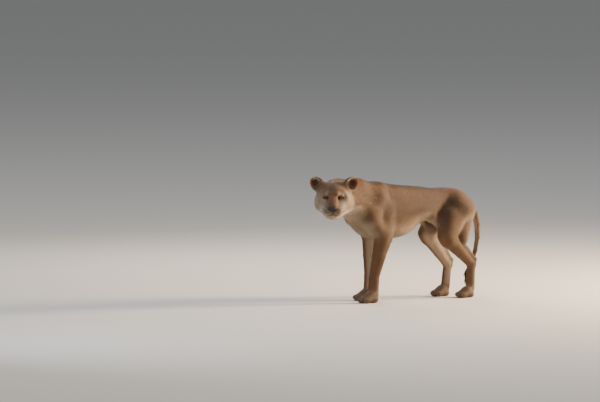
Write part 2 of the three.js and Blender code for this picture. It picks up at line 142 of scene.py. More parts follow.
# She is a field of blended muscles, in millimetres. The withers stand over x = 0, she faces -x, and her left
# side is -y.
headPose = {"yaw": 55, "pitch": 14, "betweenEyes": (-443, -164, 803)}
yaw, pitch = math.radians(headPose["yaw"]), math.radians(headPose["pitch"])
level = math.cos(pitch)
headForward = np.array([-math.cos(yaw) * level, -math.sin(yaw) * level, -math.sin(pitch)])
headLeft = np.array([math.sin(yaw), -math.cos(yaw), 0.0])
headAxes = np.stack([headForward, headLeft, np.cross(headForward, headLeft)])
betweenEyes = np.array(headPose["betweenEyes"], float)
eyeSpread = 56  # from the head's middle to each eye
eyeRadius = 19


# Head places are in her own forward, left and up, from the point between her eyes
def headPoint(p):
    return betweenEyes + np.asarray(p, float) @ headAxes


def inHead(points):
    return (points - betweenEyes) @ headAxes.T


# The frame stands on the middle of her outline; the left eye's solid says where that is.
eyeLow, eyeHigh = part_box("eye_left")
shift = np.array((eyeLow + eyeHigh) / 2) * 1000 - headPoint((0, eyeSpread, 0))


# From her own millimetres to the frame's metres
def toFrame(points):
    return (np.asarray(points, float) + shift) / 1000


# A rod from a to b, ra thick at a and rb at b. flat over 1 makes it thinner from side to side.
class Rod:
    def __init__(self, a, b, ra, rb, blend=30, flat=1.0, adds=True):
        self.a, self.ab = np.array(a, float), np.array(b, float) - np.array(a, float)
        self.ra, self.rb, self.blend, self.flat, self.adds = ra, rb, blend, flat, adds
        self.length2 = max(float(self.ab @ self.ab), 1e-9)

    def distance(self, p):
        q = p - self.a
        t = np.clip(q @ self.ab / self.length2, 0, 1)
        q = q - t[:, None] * self.ab
        q[:, 1] *= self.flat
        return np.sqrt((q * q).sum(1)) - (self.ra + (self.rb - self.ra) * t)


# An oval with three radii along its axes, the rows of axes. A carving oval takes material away.
class Oval:
    def __init__(self, centre, radii, blend=30, axes=None, adds=True):
        self.centre, self.radii = np.array(centre, float), np.array(radii, float)
        self.blend, self.adds = blend, adds
        self.axes = np.eye(3) if axes is None else axes

    def distance(self, p):
        q = (p - self.centre) @ self.axes.T / self.radii
        k0 = np.sqrt((q * q).sum(1))
        k1 = np.sqrt(((q / self.radii) ** 2).sum(1))
        return k0 * (k0 - 1) / np.maximum(k1, 1e-9)


# What shapes share, such as the almond where two ovals overlap
class Overlap:
    def __init__(self, shapes, blend=30, adds=True):
        self.shapes, self.blend, self.adds = shapes, blend, adds

    def distance(self, p):
        return np.max([s.distance(p) for s in self.shapes], axis=0)


def smoothMin(a, b, k):
    h = np.maximum(k - np.abs(a - b), 0) / k
    return np.minimum(a, b) - h * h * k / 4


def fieldOf(points, shapes):
    d = np.full(len(points), 1e3)
    for s in shapes:
        own = s.distance(points)
        d = smoothMin(d, own, s.blend) if s.adds else -smoothMin(-d, own, s.blend)
    return d


# Distances are rough, so a block of the grid looks further than its own half diagonal: by so many half
# diagonals and millimetres
blockSizes = {
    "halfDiagonal": 0.87,  # against the block's side
    "adding": 2.6,
    "carving": (1.3, 10),
    "outside": (1.3, 30),
    "inside": (1.4, 40),
}


# For each block's centre, the shapes that can reach into the block, and how near the nearest one is
def shapesNear(centres, shapes, reach):
    gap = np.array([s.distance(centres) for s in shapes])
    adds = np.array([s.adds for s in shapes])[:, None]
    blend = np.array([s.blend for s in shapes])[:, None]
    nearest = gap[adds[:, 0]].min(0)
    n, spare = blockSizes["carving"]
    carves = gap < n * reach + 2 * blend + spare
    used = np.where(adds, gap < nearest + blockSizes["adding"] * reach + blend, carves)
    return used, nearest


# The field at scattered points, bucket by bucket
def fieldAt(points, shapes, bucket=60.0):
    out = np.empty(len(points))
    key = np.floor(points / bucket).astype(np.int64)
    code = (key[:, 0] + 1000) * 4000000 + (key[:, 1] + 1000) * 2000 + key[:, 2] + 1000
    order = np.argsort(code, kind="stable")
    groups = np.split(order, np.flatnonzero(np.diff(code[order])) + 1)
    centres = np.array([(key[g[0]] + 0.5) * bucket for g in groups])
    used, _ = shapesNear(centres, shapes, bucket * blockSizes["halfDiagonal"])
    for i, g in enumerate(groups):
        out[g] = fieldOf(points[g], [s for s, u in zip(shapes, used[:, i]) if u])
    return out


# The way out of the field, from its difference over h millimetres either side
def slopeAt(points, shapes, h=0.6):
    out = np.empty_like(points)
    for axis in range(3):
        e = np.zeros(3)
        e[axis] = h
        out[:, axis] = fieldAt(points + e, shapes) - fieldAt(points - e, shapes)
    return out / (2 * h)


# Moves points to where the field is -depth
def ontoSurface(points, shapes, depth=0.0, rounds=1, limit=4.0):
    for _ in range(rounds):
        slope = slopeAt(points, shapes)
        d = fieldAt(points, shapes) + depth
        move = -(d / np.maximum((slope ** 2).sum(1), 0.05))[:, None] * slope
        size = np.linalg.norm(move, axis=1, keepdims=True)
        points = points + move * np.minimum(1, limit / np.maximum(size, 1e-9))
    return points


# The field on a grid from low to high, worked out only in blocks near the surface
def fieldGrid(shapes, low, high, cell, block=16):
    low = np.array(low, float)
    blocks = (np.ceil((np.array(high) - low) / cell).astype(int) + block) // block
    grid = np.full(tuple(blocks * block + 1), 50.0, np.float32)
    corner = np.stack(np.meshgrid(*[np.arange(b) for b in blocks], indexing="ij"), -1).reshape(-1, 3)
    size = block * cell
    reach = size * blockSizes["halfDiagonal"]
    centres = low + (corner + 0.5) * size
    used, nearest = shapesNear(centres, shapes, reach)
    here = fieldOf(centres, shapes)
    step = np.arange(block + 1) * cell
    local = np.stack(np.meshgrid(step, step, step, indexing="ij"), -1).reshape(-1, 3)
    outside, inside = (n * reach + spare for n, spare in (blockSizes["outside"], blockSizes["inside"]))
    for j, b in enumerate(corner):
        if nearest[j] > outside:
            continue
        view = grid[tuple(slice(i * block, i * block + block + 1) for i in b)]
        if here[j] < -inside:
            view[:] = np.minimum(view, -50)
            continue
        close = [s for s, u in zip(shapes, used[:, j]) if u]
        view[:] = fieldOf(local + low + b * size, close).reshape(view.shape)
    return grid


# Quads round the zero of a grid: one vertex in each cell that the surface crosses
def netOf(grid, low, cell):
    inside = grid < 0
    nx, ny, nz = grid.shape
    corners = [(i, j, k) for i in (0, 1) for j in (0, 1) for k in (0, 1)]
    count = sum(inside[i:nx - 1 + i, j:ny - 1 + j, k:nz - 1 + k].astype(np.int8)
                for i, j, k in corners)
    active = (count > 0) & (count < 8)
    cells = np.argwhere(active)
    index = np.full(active.shape, -1, np.int64)
    index[active] = np.arange(len(cells))
    value = {c: grid[tuple((cells + c).T)] for c in corners}
    total, hits = np.zeros((len(cells), 3)), np.zeros(len(cells))
    for c in corners:
        for axis in range(3):
            if c[axis]:
                continue
            end = tuple(1 if a == axis else v for a, v in enumerate(c))
            crosses = (value[c] < 0) != (value[end] < 0)
            at = np.tile(np.array(c, float), (len(cells), 1))
            at[:, axis] = np.where(crosses, value[c] / np.where(crosses, value[c] - value[end], 1), 0)
            total += at * crosses[:, None]
            hits += crosses
    points = np.array(low, float) + (cells + total / hits[:, None]) * cell
    quads = []
    for axis in range(3):
        u, v = (axis + 1) % 3, (axis + 2) % 3
        before = tuple(slice(0, -1) if a == axis else slice(None) for a in range(3))
        after = tuple(slice(1, None) if a == axis else slice(None) for a in range(3))
        at = np.argwhere(inside[before] != inside[after])
        held = (at[:, u] > 0) & (at[:, v] > 0) & (at[:, u] < active.shape[u]) & (at[:, v] < active.shape[v])
        at = at[held]
        du, dv = np.eye(3, dtype=int)[u], np.eye(3, dtype=int)[v]
        quad = np.stack([index[tuple(q.T)] for q in (at, at - du, at - du - dv, at - dv)], 1)
        turned = ~inside[tuple(at.T)]
        quad[turned] = quad[turned][:, ::-1]
        quads.append(quad)
    return points, np.concatenate(quads)


def trunkShapes():
    shapes = [
        Oval((140, 0, 660), (275, 150, 194), 40, leaning(2)),  # ribcage
        Oval((-35, 0, 640), (150, 108, 168), 60, leaning(-12)),  # breast
        Oval((60, 0, 796), (170, 62, 72), 60),  # withers
        Oval((480, 0, 734), (270, 114, 95), 60),  # loin
        Oval((300, 0, 752), (195, 86, 94), 60),  # back
        Oval((350, 0, 684), (245, 140, 100), 60),  # belly
        Oval((685, 0, 720), (150, 106, 92), 60, leaning(8)),  # croup
        Rod((560, 0, 652), (640, 0, 584), 58, 40, 50),  # groin
        Rod((740, 0, 712), (800, 0, 698), 66, 46, 50),  # root of the tail
    ]
    for s in (-1, 1):
        shapes += [
            Rod((38, s * 46, 847), (-20, s * 92, 730), 34, 56, 40),  # shoulder blade
            Rod((0, s * 88, 765), (-86, s * 104, 645), 62, 72, 40),  # shoulder
            Rod((700, s * 62, 720), (752, s * 78, 668), 84, 96, 50),  # buttock
        ]
    return shapes


# Where the joints stand along x, and how high, for each leg. Left is -1.
stances = {
    "foreLeft": {"side": -1, "elbow": 18, "wrist": -46, "ball": -72},
    "foreRight": {"side": 1, "elbow": 52, "wrist": 40, "ball": 14},
    "hindLeft": {"side": -1, "knee": 588, "kneeZ": 454, "hock": 828, "hockZ": 258, "ball": 806},
    "hindRight": {"side": 1, "knee": 560, "kneeZ": 462, "hock": 744, "hockZ": 243, "ball": 710},
}
# Feet: how far out they stand, their breadth as a share, and how far their middle lies ahead of the ball
footSizes = {
    "fore": {"spread": 98, "breadth": 1.08, "ahead": 0},
    "hind": {"spread": 96, "breadth": 0.98, "ahead": 20},
    "toes": (-1.5, -0.5, 0.5, 1.5),
    "toeSpread": 26,
    "toeCurve": 6,  # how far the outer toes stand back
}


def footOf(stance):
    foot = footSizes["hind" if "hock" in stance else "fore"]
    return stance["ball"] - foot["ahead"], stance["side"] * foot["spread"], foot["breadth"]


def footShapes(x, y, size):
    shapes = [
        Oval((x - 2, y, 40), (50 * size, 47 * size, 44), 22),  # top of the foot
        Oval((x + 22, y, 22), (32 * size, 38 * size, 26), 14),  # heel pad
        Oval((x - 36 * size, y, 25), (46 * size, 49 * size, 23), 12),  # arch
    ]
    for i in footSizes["toes"]:
        back = footSizes["toeCurve"] * i * i
        wristEnd = (x - 14 + back / 2, y + i * 16 * size, 56)
        knuckle = (x - 58 * size + back, y + i * 24 * size, 34)
        toe = (x - 70 * size + back, y + i * footSizes["toeSpread"] * size, 23)
        shapes += [Rod(wristEnd, knuckle, 20 * size, 16 * size, 14), Oval(toe, (28 * size, 17 * size, 22), 4)]
    return shapes


def forelegShapes(side, elbow, wrist, ball):
    elbowZ, wristZ = 472, 172
    y0, y1 = side * 112, side * footSizes["fore"]["spread"]
    middle = (elbow * 0.55 + wrist * 0.45, (y0 + y1) / 2, elbowZ * 0.55 + wristZ * 0.45)
    return [
        Rod((-86, side * 106, 635), (elbow - 5, y0, elbowZ + 25), 72, 63, 40),  # upper arm
        Rod((elbow + 35, side * 92, 705), (elbow + 30, y0, elbowZ + 50), 54, 56, 45),  # back of the arm
        Rod((elbow + 38, side * 110, elbowZ + 60), (elbow + 48, y0, elbowZ + 14), 40, 28, 22),  # elbow
        Rod((elbow, y0, elbowZ + 10), middle, 63, 51, 20, 1.08),  # forearm
        Rod(middle, (wrist, y1, wristZ + 6), 51, 40, 8, 1.05),
        Rod((elbow + 32, y0, elbowZ - 10), (wrist + 14, y1, wristZ + 60), 37, 27, 24),  # its tendons
        Rod((wrist, y1, wristZ + 6), (ball + 20, y1, 70), 40, 42, 10),  # wrist
        Oval((wrist + 34, y1 + side * 4, wristZ - 24), (9, 11, 14), 14),  # wrist pad
    ]


def hindLegShapes(side, knee, kneeZ, hock, hockZ, ball):
    y0, y1 = side * 112, side * footSizes["hind"]["spread"]
    middle = (knee * 0.45 + hock * 0.55, side * 104, kneeZ * 0.42 + hockZ * 0.58)
    ham, tendon = (knee + hock) / 2 + 26, knee * 0.4 + hock * 0.6
    return [
        Rod((712, side * 74, 680), (knee + 12, y0, kneeZ + 10), 98, 66, 45, 1.05),  # thigh
        Rod((800, side * 58, 650), (ham, side * 100, kneeZ - 10), 66, 44, 45, 1.05),  # ham
        Rod((620, side * 88, 628), (knee - 6, side * 106, kneeZ + 20), 66, 54, 40),  # front of the thigh
        Rod((knee - 6, y0, kneeZ + 20), (knee + 10, y0, kneeZ - 20), 54, 48, 24),  # knee
        Rod((knee - 40, side * 80, kneeZ + 100), (knee - 105, side * 78, kneeZ + 156), 26, 30, 60),  # flank
        Rod((knee + 20, y0, kneeZ - 15), middle, 62, 44, 24, 1.1),  # shin
        Rod(middle, (hock - 10, y1, hockZ - 6), 44, 34, 8, 1.08),
        Rod((tendon, side * 102, kneeZ - 50), (hock + 20, y1, hockZ + 28), 25, 17, 26),  # heel tendon
        Rod((hock + 22, y1, hockZ + 26), (hock + 12, y1, hockZ - 14), 19, 24, 14),  # point of the hock
        Rod((hock - 8, y1, hockZ - 4), (ball + 6, y1, 74), 33, 35, 12),  # hock to foot
    ]


# The tail hangs in a long S: x, y, z and radius of its flesh. Its last length is thin, under the tuft's hair.
tailLine = np.array([
    [800, 0, 704, 46], [862, 0, 680, 37], [912, 0, 624, 29], [938, 2, 540, 23.5], [944, 6, 440, 20],
    [930, 12, 340, 18], [906, 18, 250, 16], [888, 22, 190, 15], [878, 25, 142, 9],
])


def tailShapes():
    ends = zip(tailLine[:-1], tailLine[1:])
    return [Rod(a[:3], b[:3], a[3], b[3], 8 if i > 1 else 40) for i, (a, b) in enumerate(ends)]


def neckShapes():
    return [
        Rod((30, 0, 784), (-140, -6, 826), 90, 92, 60),  # crest, from the withers to the nape
        Rod((-140, -6, 826), (-300, -18, 832), 92, 88, 30),
        Rod((-40, 0, 675), (-310, -42, 758), 118, 88, 70),  # throat
        Rod((-20, 0, 730), (-345, -40, 800), 110, 94, 60),  # core
        Rod((-76, -96, 668), (-236, -82, 744), 56, 60, 50),  # sides
        Rod((-76, 96, 668), (-236, 30, 744), 56, 60, 50),
    ]


# Ears and eyes, in the head's own axes from the point between her eyes. Those of her right side are mirrored.
earSizes = {
    "root": (-112, 128, 66),
    "forward": (1, 0.42, 0.10),
    "up": (-0.30, 0.75, 1),
    "radii": (30, 49, 52),
    "cupAt": (21, 0, 4),
    "cupRadii": (34, 42.5, 45.5),
}
eyeSizes = {
    "lidRadius": 23.0,
    "openingForward": (1, 0.30, 0.04),
    "openingUp": (0, 0.26, 1),
    "openingAt": 20,
    "openingDepth": 20,
    "openingHalfWidth": 17.0,
    "upperLid": 8.0,  # how far each lid's edge lies from the line between the corners
    "lowerLid": 9.4,
    "lookForward": (1, 0.10, 0.14),
    "iris": 10.2,
    "pupil": 4.1,
    "corneaHeight": 1.6,
    "corneaReach": 0.5,  # how far from the axis the cornea swells, in radians
    "denseTo": 0.75,  # half the ball's rings lie within this angle of the axis
    "rings": 40,
    "around": 48,
}


# One side of a pair of head directions, as rows in her own axes
def pairFrame(forward, up, s):
    return frameOf((forward[0], s * forward[1], forward[2]), (up[0], s * up[1], up[2]))


# The almond between the lids: each lid's edge is an arc through both corners.
def eyeOpening(side):
    axes = pairFrame(eyeSizes["openingForward"], eyeSizes["openingUp"], side)
    middle = np.array((0, side * eyeSpread, 0)) + eyeSizes["openingAt"] * axes[0]
    half, arcs = eyeSizes["openingHalfWidth"], []
    for high, way in ((eyeSizes["upperLid"], 1), (eyeSizes["lowerLid"], -1)):
        radius = (half ** 2 + high ** 2) / (2 * high)
        centre = headPoint(middle + way * (high - radius) * axes[2])
        arcs.append(Oval(centre, (eyeSizes["openingDepth"], radius, radius), axes=axes @ headAxes))
    return Overlap(arcs, 2.0, adds=False)


def headRod(a, b, ra, rb, blend):
    return Rod(headPoint(a), headPoint(b), ra, rb, blend)


def headOval(centre, radii, blend, pitch=0, yaw=0, adds=True):
    return Oval(headPoint(centre), radii, blend, leaning(pitch, yaw) @ headAxes, adds)


def noseShapes():
    return [
        headOval((119, 0, -50), (20, 27, 14), 6, -16),  # nose leather, and its lower end
        headOval((123, 0, -66), (15, 15, 14), 6),
        *[headOval((120, s * 19, -55), (15, 11.5, 12), 5) for s in (-1, 1)],  # wings of the nostrils
    ]


def headShapes():
    shapes = [
        headOval((-92, 0, 4), (108, 86, 76), 30),  # cranium
        headOval((-46, 0, 12), (66, 76, 50), 30, 12),  # forehead
        headRod((4, 0, 4), (112, 0, -40), 32, 24, 22),  # bridge of the nose
        headRod((16, 0, -58), (90, 0, -80), 58, 42, 30),  # muzzle
    ]
    for s in (-1, 1):
        shapes += [
            headRod((10, s * 15, 7), (108, s * 15, -42), 20, 18, 14),  # edge of the bridge
            headRod((16, s * 28, 21), (-24, s * 66, 24), 15, 20, 22),  # brow
            headOval((-42, s * 78, -36), (60, 42, 60), 34),  # cheek
            headOval((-80, s * 93, -66), (60, 46, 74), 34),  # ruff
            headRod((72, s * 38, -76), (-22, s * 72, -54), 32, 44, 26),  # side of the face
            headRod((64, s * 34, -118), (-50, s * 70, -100), 29, 44, 26),  # jaw
            headRod((6, s * 48, -34), (-14, s * 86, -26), 20, 24, 24),  # cheekbone
            headRod((-98, s * 62, 16), (-112, s * 104, 48), 56, 46, 30),  # root of the ear
        ]
    shapes += [
        headOval((82, 0, -122), (42, 48, 27), 10),  # chin
        *[headOval((88, s * 36, -80), (46, 36, 35), 12, yaw=s * 8) for s in (-1, 1)],  # whisker pads
        headRod((-120, 0, -24), (-190, 0, -24), 82, 82, 50),  # nape
        headOval((-60, 0, -90), (84, 78, 54), 40),  # throat
        *noseShapes(),
        *[headOval((14, s * 60, -1), (24, 27, 16), 20, adds=False) for s in (-1, 1)],  # eye sockets
    ]
    for s in (-1, 1):
        eye = np.array((0, s * eyeSpread, 0))
        shapes.append(Oval(headPoint(eye), [eyeSizes["lidRadius"]] * 3, 12))
        shapes.append(eyeOpening(s))
        shapes.append(headOval((14.5, s * 42.5, -3), (7, 6.5, 5.5), 3))  # inner corner
        ear = pairFrame(earSizes["forward"], earSizes["up"], s)
        root = np.array(earSizes["root"]) * (1, s, 1)
        shapes.append(Oval(headPoint(root), earSizes["radii"], 24, ear @ headAxes))
        cup = headPoint(root + np.array(earSizes["cupAt"]) @ ear)
        shapes.append(Oval(cup, earSizes["cupRadii"], 7, ear @ headAxes, adds=False))
    return shapes


# Lines of the face, dropped onto it: mouth, nostril, tear line and the cleft of the lip
faceLines = {
    "mouth": [(140, 1, -100), (128, 22, -111), (100, 54, -113), (64, 76, -106), (28, 88, -94)],
    "nostril": [(145, 8, -62), (142, 15, -63), (134, 24, -58), (124, 31, -50)],
    "tear": [(18, 36, -6), (26, 31, -14), (42, 30, -34)],
    "cleft": [(142, 0, -74), (142, 0, -99)],
}


def lineOnFace(name, side, shapes, steps=5):
    line = np.array(faceLines[name], float) * (1, side, 1)
    t = np.linspace(0, len(line) - 1, (len(line) - 1) * steps + 1)
    points = np.stack([np.interp(t, np.arange(len(line)), line[:, a]) for a in range(3)], 1)
    return ontoSurface(headPoint(points), shapes, rounds=4, limit=12)


# Rods that cut a groove along a line. sink is how far out the rods' middles lie, in radii.
def grooveAlong(line, shapes, startRadius, endRadius, blend, sink):
    out = unit(slopeAt(line, shapes))
    radius = np.linspace(startRadius, endRadius, len(line))
    middle = line + out * (radius * sink)[:, None]
    ends = zip(middle[:-1], middle[1:], radius[:-1], radius[1:])
    return [Rod(a, b, ra, rb, blend, adds=False) for a, b, ra, rb in ends]


def faceGrooves(shapes):
    cuts = []
    for s in (-1, 1):
        cuts += grooveAlong(lineOnFace("mouth", s, shapes), shapes, 3.6, 2.6, 4, 0.6)
        cuts += grooveAlong(lineOnFace("nostril", s, shapes), shapes, 4.6, 1.8, 3, 0.1)
        cuts += grooveAlong(lineOnFace("tear", s, shapes), shapes, 2.6, 1.6, 4, 0.6)
    return cuts + grooveAlong(lineOnFace("cleft", 1, shapes), shapes, 1.6, 2.4, 3, 0.6)


flesh = trunkShapes()
for stance in stances.values():
    flesh += hindLegShapes(**stance) if "hock" in stance else forelegShapes(**stance)
    flesh += footShapes(*footOf(stance))
flesh += tailShapes() + neckShapes() + headShapes()
mouthLine = np.concatenate([lineOnFace("mouth", s, flesh) for s in (-1, 1)])
cleftLine = lineOnFace("cleft", 1, flesh)
tearLine = np.concatenate([lineOnFace("tear", s, flesh, 3) for s in (-1, 1)])
nostrilLine = np.concatenate([lineOnFace("nostril", s, flesh) for s in (-1, 1)])
flesh += faceGrooves(flesh)
report(f"field of {len(flesh)} shapes")

# The skin lies inside the outline by the coat's depth, in millimetres
skinSizes = {
    "cell": 3.5,
    "quickCell": 7.0,
    "triangles": 195000,
    "headReach": 260,  # the head lies within this of the point between the eyes
    # the net is twice as fine this near to the eyes, the nose, the ears' roots and the lips
    "eyeReach": 34,
    "noseReach": 44,
    "earReach": 62,
    "lipReach": 9,
    # thinning spares the fine net most, then the rest of the head, then the feet
    "keepHead": 0.75,
    "keepFoot": 0.6,
    "footFlat": 1.5,
    "depth": {"trunk": 4.6, "leg": 3.2, "foot": 1.8, "tail": 3.5, "tuft": 5.0, "face": 1.3, "cheek": 3.0,
              "ear": 1.4},
}


# Distance from points to a bent line, and how far along it the nearest place is, from 0 to its last point
def alongLine(points, line):
    best, place = np.full(len(points), 1e9), np.zeros(len(points))
    for i, (a, b) in enumerate(zip(line[:-1], line[1:])):
        ab = b - a
        t = np.clip((points - a) @ ab / max(ab @ ab, 1e-9), 0, 1)
        d = lengthOf(points - a - t[:, None] * ab)
        place = np.where(d < best, i + t, place)
        best = np.minimum(d, best)
    return best, place


def near(points, place, radius):
    return np.exp(-(lengthOf(points - np.array(place, float)) / radius) ** 2)


# Where a point lies on her: each part is a weight from 0 to 1
def partsOf(points):
    head = inHead(points)
    x, _, z = points.T
    tailGap, tailPlace = alongLine(points, tailLine[:, :3])
    headed = fade(head[:, 0], -150, -105) * (lengthOf(head) < 320)
    tail = fade(tailPlace, 0.4, 1.4) * fade(tailGap, 75, 60)
    fore, hind = fade(z, 530, 430) * (x < 250), fade(z, 570, 450) * (x > 420) * (1 - tail)
    ear = np.zeros(len(points))
    earAt = np.zeros((len(points), 3))
    for s in (-1, 1):
        axes = pairFrame(earSizes["forward"], earSizes["up"], s)
        local = (head - np.array(earSizes["root"]) * (1, s, 1)) @ axes.T
        weight = fade(local[:, 2], -22, 2) * (lengthOf(local) < 75)
        ear = np.maximum(ear, weight)
        earAt[weight > 0] = (local * (1, s, 1))[weight > 0]
    foot = fade(z, 120, 70) * (1 - tail)
    return {
        "head": headed, "headAt": head, "ear": ear, "earAt": earAt, "tail": tail, "tailPlace": tailPlace,
        "fore": fore, "hind": hind, "legs": np.maximum(fore, hind), "foot": foot,
        "neck": fade(x, -40, -170) * (1 - headed) * fade(z, 490, 570),
    }


def skinDepth(points):
    parts, depth = partsOf(points), skinSizes["depth"]
    d = np.full(len(points), depth["trunk"])
    side = np.abs(parts["headAt"][:, 1])
    cheek = fade(side - parts["headAt"][:, 0] * 0.6, 70, 120)
    face = depth["face"] + (depth["cheek"] - depth["face"]) * cheek
    tuft = fade(parts["tailPlace"], 6.3, 6.9)
    tail = depth["tail"] + (depth["tuft"] - depth["tail"]) * tuft
    layers = ((parts["legs"], depth["leg"]), (parts["foot"], depth["foot"]), (parts["tail"], tail),
              (parts["head"], face), (parts["ear"], depth["ear"]))
    for weight, own in layers:
        d = d + (own - d) * weight
    return d


def ontoSkin(points, rounds=1):
    moved = points
    for _ in range(rounds):
        moved = ontoSurface(moved, flesh, skinDepth(moved))
    moved[:, 2] = np.maximum(moved[:, 2], skinSizes["footFlat"])
    return moved


def meshOf(name, points, faces):
    mesh = bpy.data.meshes.new(name)
    mesh.from_pydata(np.asarray(points).tolist(), [], faces if isinstance(faces, list) else faces.tolist())
    mesh.polygons.foreach_set("use_smooth", [True] * len(mesh.polygons))
    mesh.update()
    obj = bpy.data.objects.new(name, mesh)
    bpy.context.collection.objects.link(obj)
    return obj


# Turns every face outwards, after vertices closer than merge have become one
def faceOutwards(mesh, merge=0):
    work = bmesh.new()
    work.from_mesh(mesh)
    if merge:
        bmesh.ops.remove_doubles(work, verts=work.verts, dist=merge)
    bmesh.ops.recalc_face_normals(work, faces=work.faces)
    work.to_mesh(mesh)
    work.free()


def pointsOf(mesh):
    flat = np.empty(len(mesh.vertices) * 3, np.float32)
    mesh.vertices.foreach_get("co", flat)
    return flat.reshape(-1, 3).astype(float)


def needsFineNet(points):
    head = inHead(points)
    inReach = lengthOf(head) < skinSizes["headReach"]
    local = head[inReach]
    fine = lengthOf(local - (126, 0, -56)) < skinSizes["noseReach"]
    for s in (-1, 1):
        eye, ear = (6, s * eyeSpread, 0), np.array(earSizes["root"]) * (1, s, 1)
        fine |= lengthOf(local - eye) < skinSizes["eyeReach"]
        fine |= lengthOf(local - ear) < skinSizes["earReach"]
    for line in (mouthLine, cleftLine):
        fine |= alongLine(points[inReach], line)[0] < skinSizes["lipReach"]
    close = np.zeros(len(points), bool)
    close[inReach] = fine
    return close


def makeSkin():
    cell = skinSizes["cell"]
    low, high = (np.array(corner) * 1000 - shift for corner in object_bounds())
    low, high = low - 3 * cell, high + 3 * cell
    points, quads = netOf(fieldGrid(flesh, low, high, cell), low, cell)
    report(f"net of {len(quads)} quads")
    points = ontoSkin(points, 2)
    skin = meshOf("skin", points, quads)
    work = bmesh.new()
    work.from_mesh(skin.data)
    work.verts.ensure_lookup_table()
    close = needsFineNet(points)
    edges = [e for e in work.edges if close[e.verts[0].index] and close[e.verts[1].index]]
    bmesh.ops.subdivide_edges(work, edges=edges, cuts=1, use_grid_fill=True)
    bmesh.ops.triangulate(work, faces=work.faces)
    work.to_mesh(skin.data)
    work.free()
    points = ontoSkin(pointsOf(skin.data), 1)
    skin.data.vertices.foreach_set("co", points.ravel())
    report(f"skin of {len(skin.data.polygons)} triangles, before thinning")
    keep = skin.vertex_groups.new(name="keep")
    parts = partsOf(points)
    head, foot = skinSizes["keepHead"], skinSizes["keepFoot"]
    weight = np.clip(needsFineNet(points) + head * parts["head"] + foot * parts["foot"], 0, 1)
    for step in (foot, head, 1.0):
        chosen = np.flatnonzero((weight > step - 0.1) & (weight <= step + 0.01))
        keep.add(chosen.tolist(), step, "REPLACE")
    thin = skin.modifiers.new("thin", "DECIMATE")
    thin.ratio = min(1, skinSizes["triangles"] / len(skin.data.polygons))
    thin.vertex_group = "keep"
    thin.invert_vertex_group = True
    evaluated = skin.evaluated_get(bpy.context.evaluated_depsgraph_get())
    mesh = bpy.data.meshes.new_from_object(evaluated)
    skin.modifiers.remove(thin)
    skin.vertex_groups.clear()
    skin.data = mesh
    points = ontoSkin(pointsOf(mesh), 1)
    mesh.vertices.foreach_set("co", toFrame(points).ravel())
    mesh.update()
    report(f"skin of {len(mesh.polygons)} triangles")
    return skin, points


skin, skinPoints = makeSkin()


def storeOn(mesh, name, kind, values, domain="POINT"):
    layer = mesh.attributes.new(name, kind, domain)
    field = {"FLOAT_VECTOR": "vector", "FLOAT_COLOR": "color"}.get(kind, "value")
    layer.data.foreach_set(field, np.ascontiguousarray(values).ravel())


# The unwrap's islands are a tuft's patch apart, so no tuft reads a far part's colour
unwrapSizes = {"degrees": 72, "tuftPatch": 0.003}


def unwrap(obj, name):
    bpy.context.view_layer.objects.active = obj
    obj.select_set(True)
    obj.data.uv_layers.new(name=name)
    bpy.ops.object.mode_set(mode="EDIT")
    bpy.ops.mesh.select_all(action="SELECT")
    angle = math.radians(unwrapSizes["degrees"])
    bpy.ops.uv.smart_project(angle_limit=angle, island_margin=unwrapSizes["tuftPatch"])
    bpy.ops.object.mode_set(mode="OBJECT")
    obj.select_set(False)


unwrap(skin, "OFBake")

# Whiskers stand in four rows on each pad, each row's first root given in the head's own axes, and sweep back
whiskerSizes = {
    "rows": [(112, 40, -66), (110, 44, -75), (107, 46, -85), (102, 46, -94)],
    "perRow": [4, 6, 6, 5],
    "step": (-11.5, 4.2, -0.6),
    "length": (48, 96),
    "rootRadius": 0.48,
    "thinsBy": 0.8,
    "rootDepth": 1.5,
    "backward": -0.80,
    "sideways": 0.60,
    "upOrDown": (-0.34, 0.12),
    "startOut": 0.8,  # how much it starts out of the skin, and how much it ends swept back
    "endBack": 1.2,
    "droop": (0, 0, -0.25),
    "sides": 5,
    "rings": 9,
    "spot": 4.0,
    "seed": 11,
}


def whiskerRoots(side):
    roots = []
    for row, count in zip(whiskerSizes["rows"], whiskerSizes["perRow"]):
        for i in range(count):
            roots.append((np.array(row) + i * np.array(whiskerSizes["step"])) * (1, side, 1))
    return ontoSkin(headPoint(roots), 5)


whiskerSpots = np.concatenate([whiskerRoots(s) for s in (-1, 1)])


# Turns places in the head into their likes on her left side, and back
def mirrorOf(head):
    return np.where(head[:, 1:2] < 0, [[1, -1, 1]], [[1, 1, 1]])


# How far a place is from the middle of the ear's cup: 1 on its wall
def cupReach(earAt):
    return lengthOf((earAt - earSizes["cupAt"]) / np.array(earSizes["cupRadii"]))


# Soft spots on the left of the face, in the head's own axes: marking, weight, middle and radius
faceSpots = [
    ("pale", 0.95, (98, 42, -92), 33),  # lip
    # Pale fur and painted light: the next three spots are made paler still, as sunlight on the cheek and neck
    ("pale", 0.70, (44, 74, -66), 46),  # side of the face
    ("pale", 0.75, (-50, 112, -56), 70),  # ruff
    ("pale", 0.60, (-14, 92, -14), 44),  # cheekbone
    ("pale", 0.95, (18, 64, -26), 15),  # below and above the eye
    ("pale", 0.80, (10, 42, 26), 15),
    ("dark", 0.26, (22, 24, -4), 12),  # beside the bridge of the nose
]
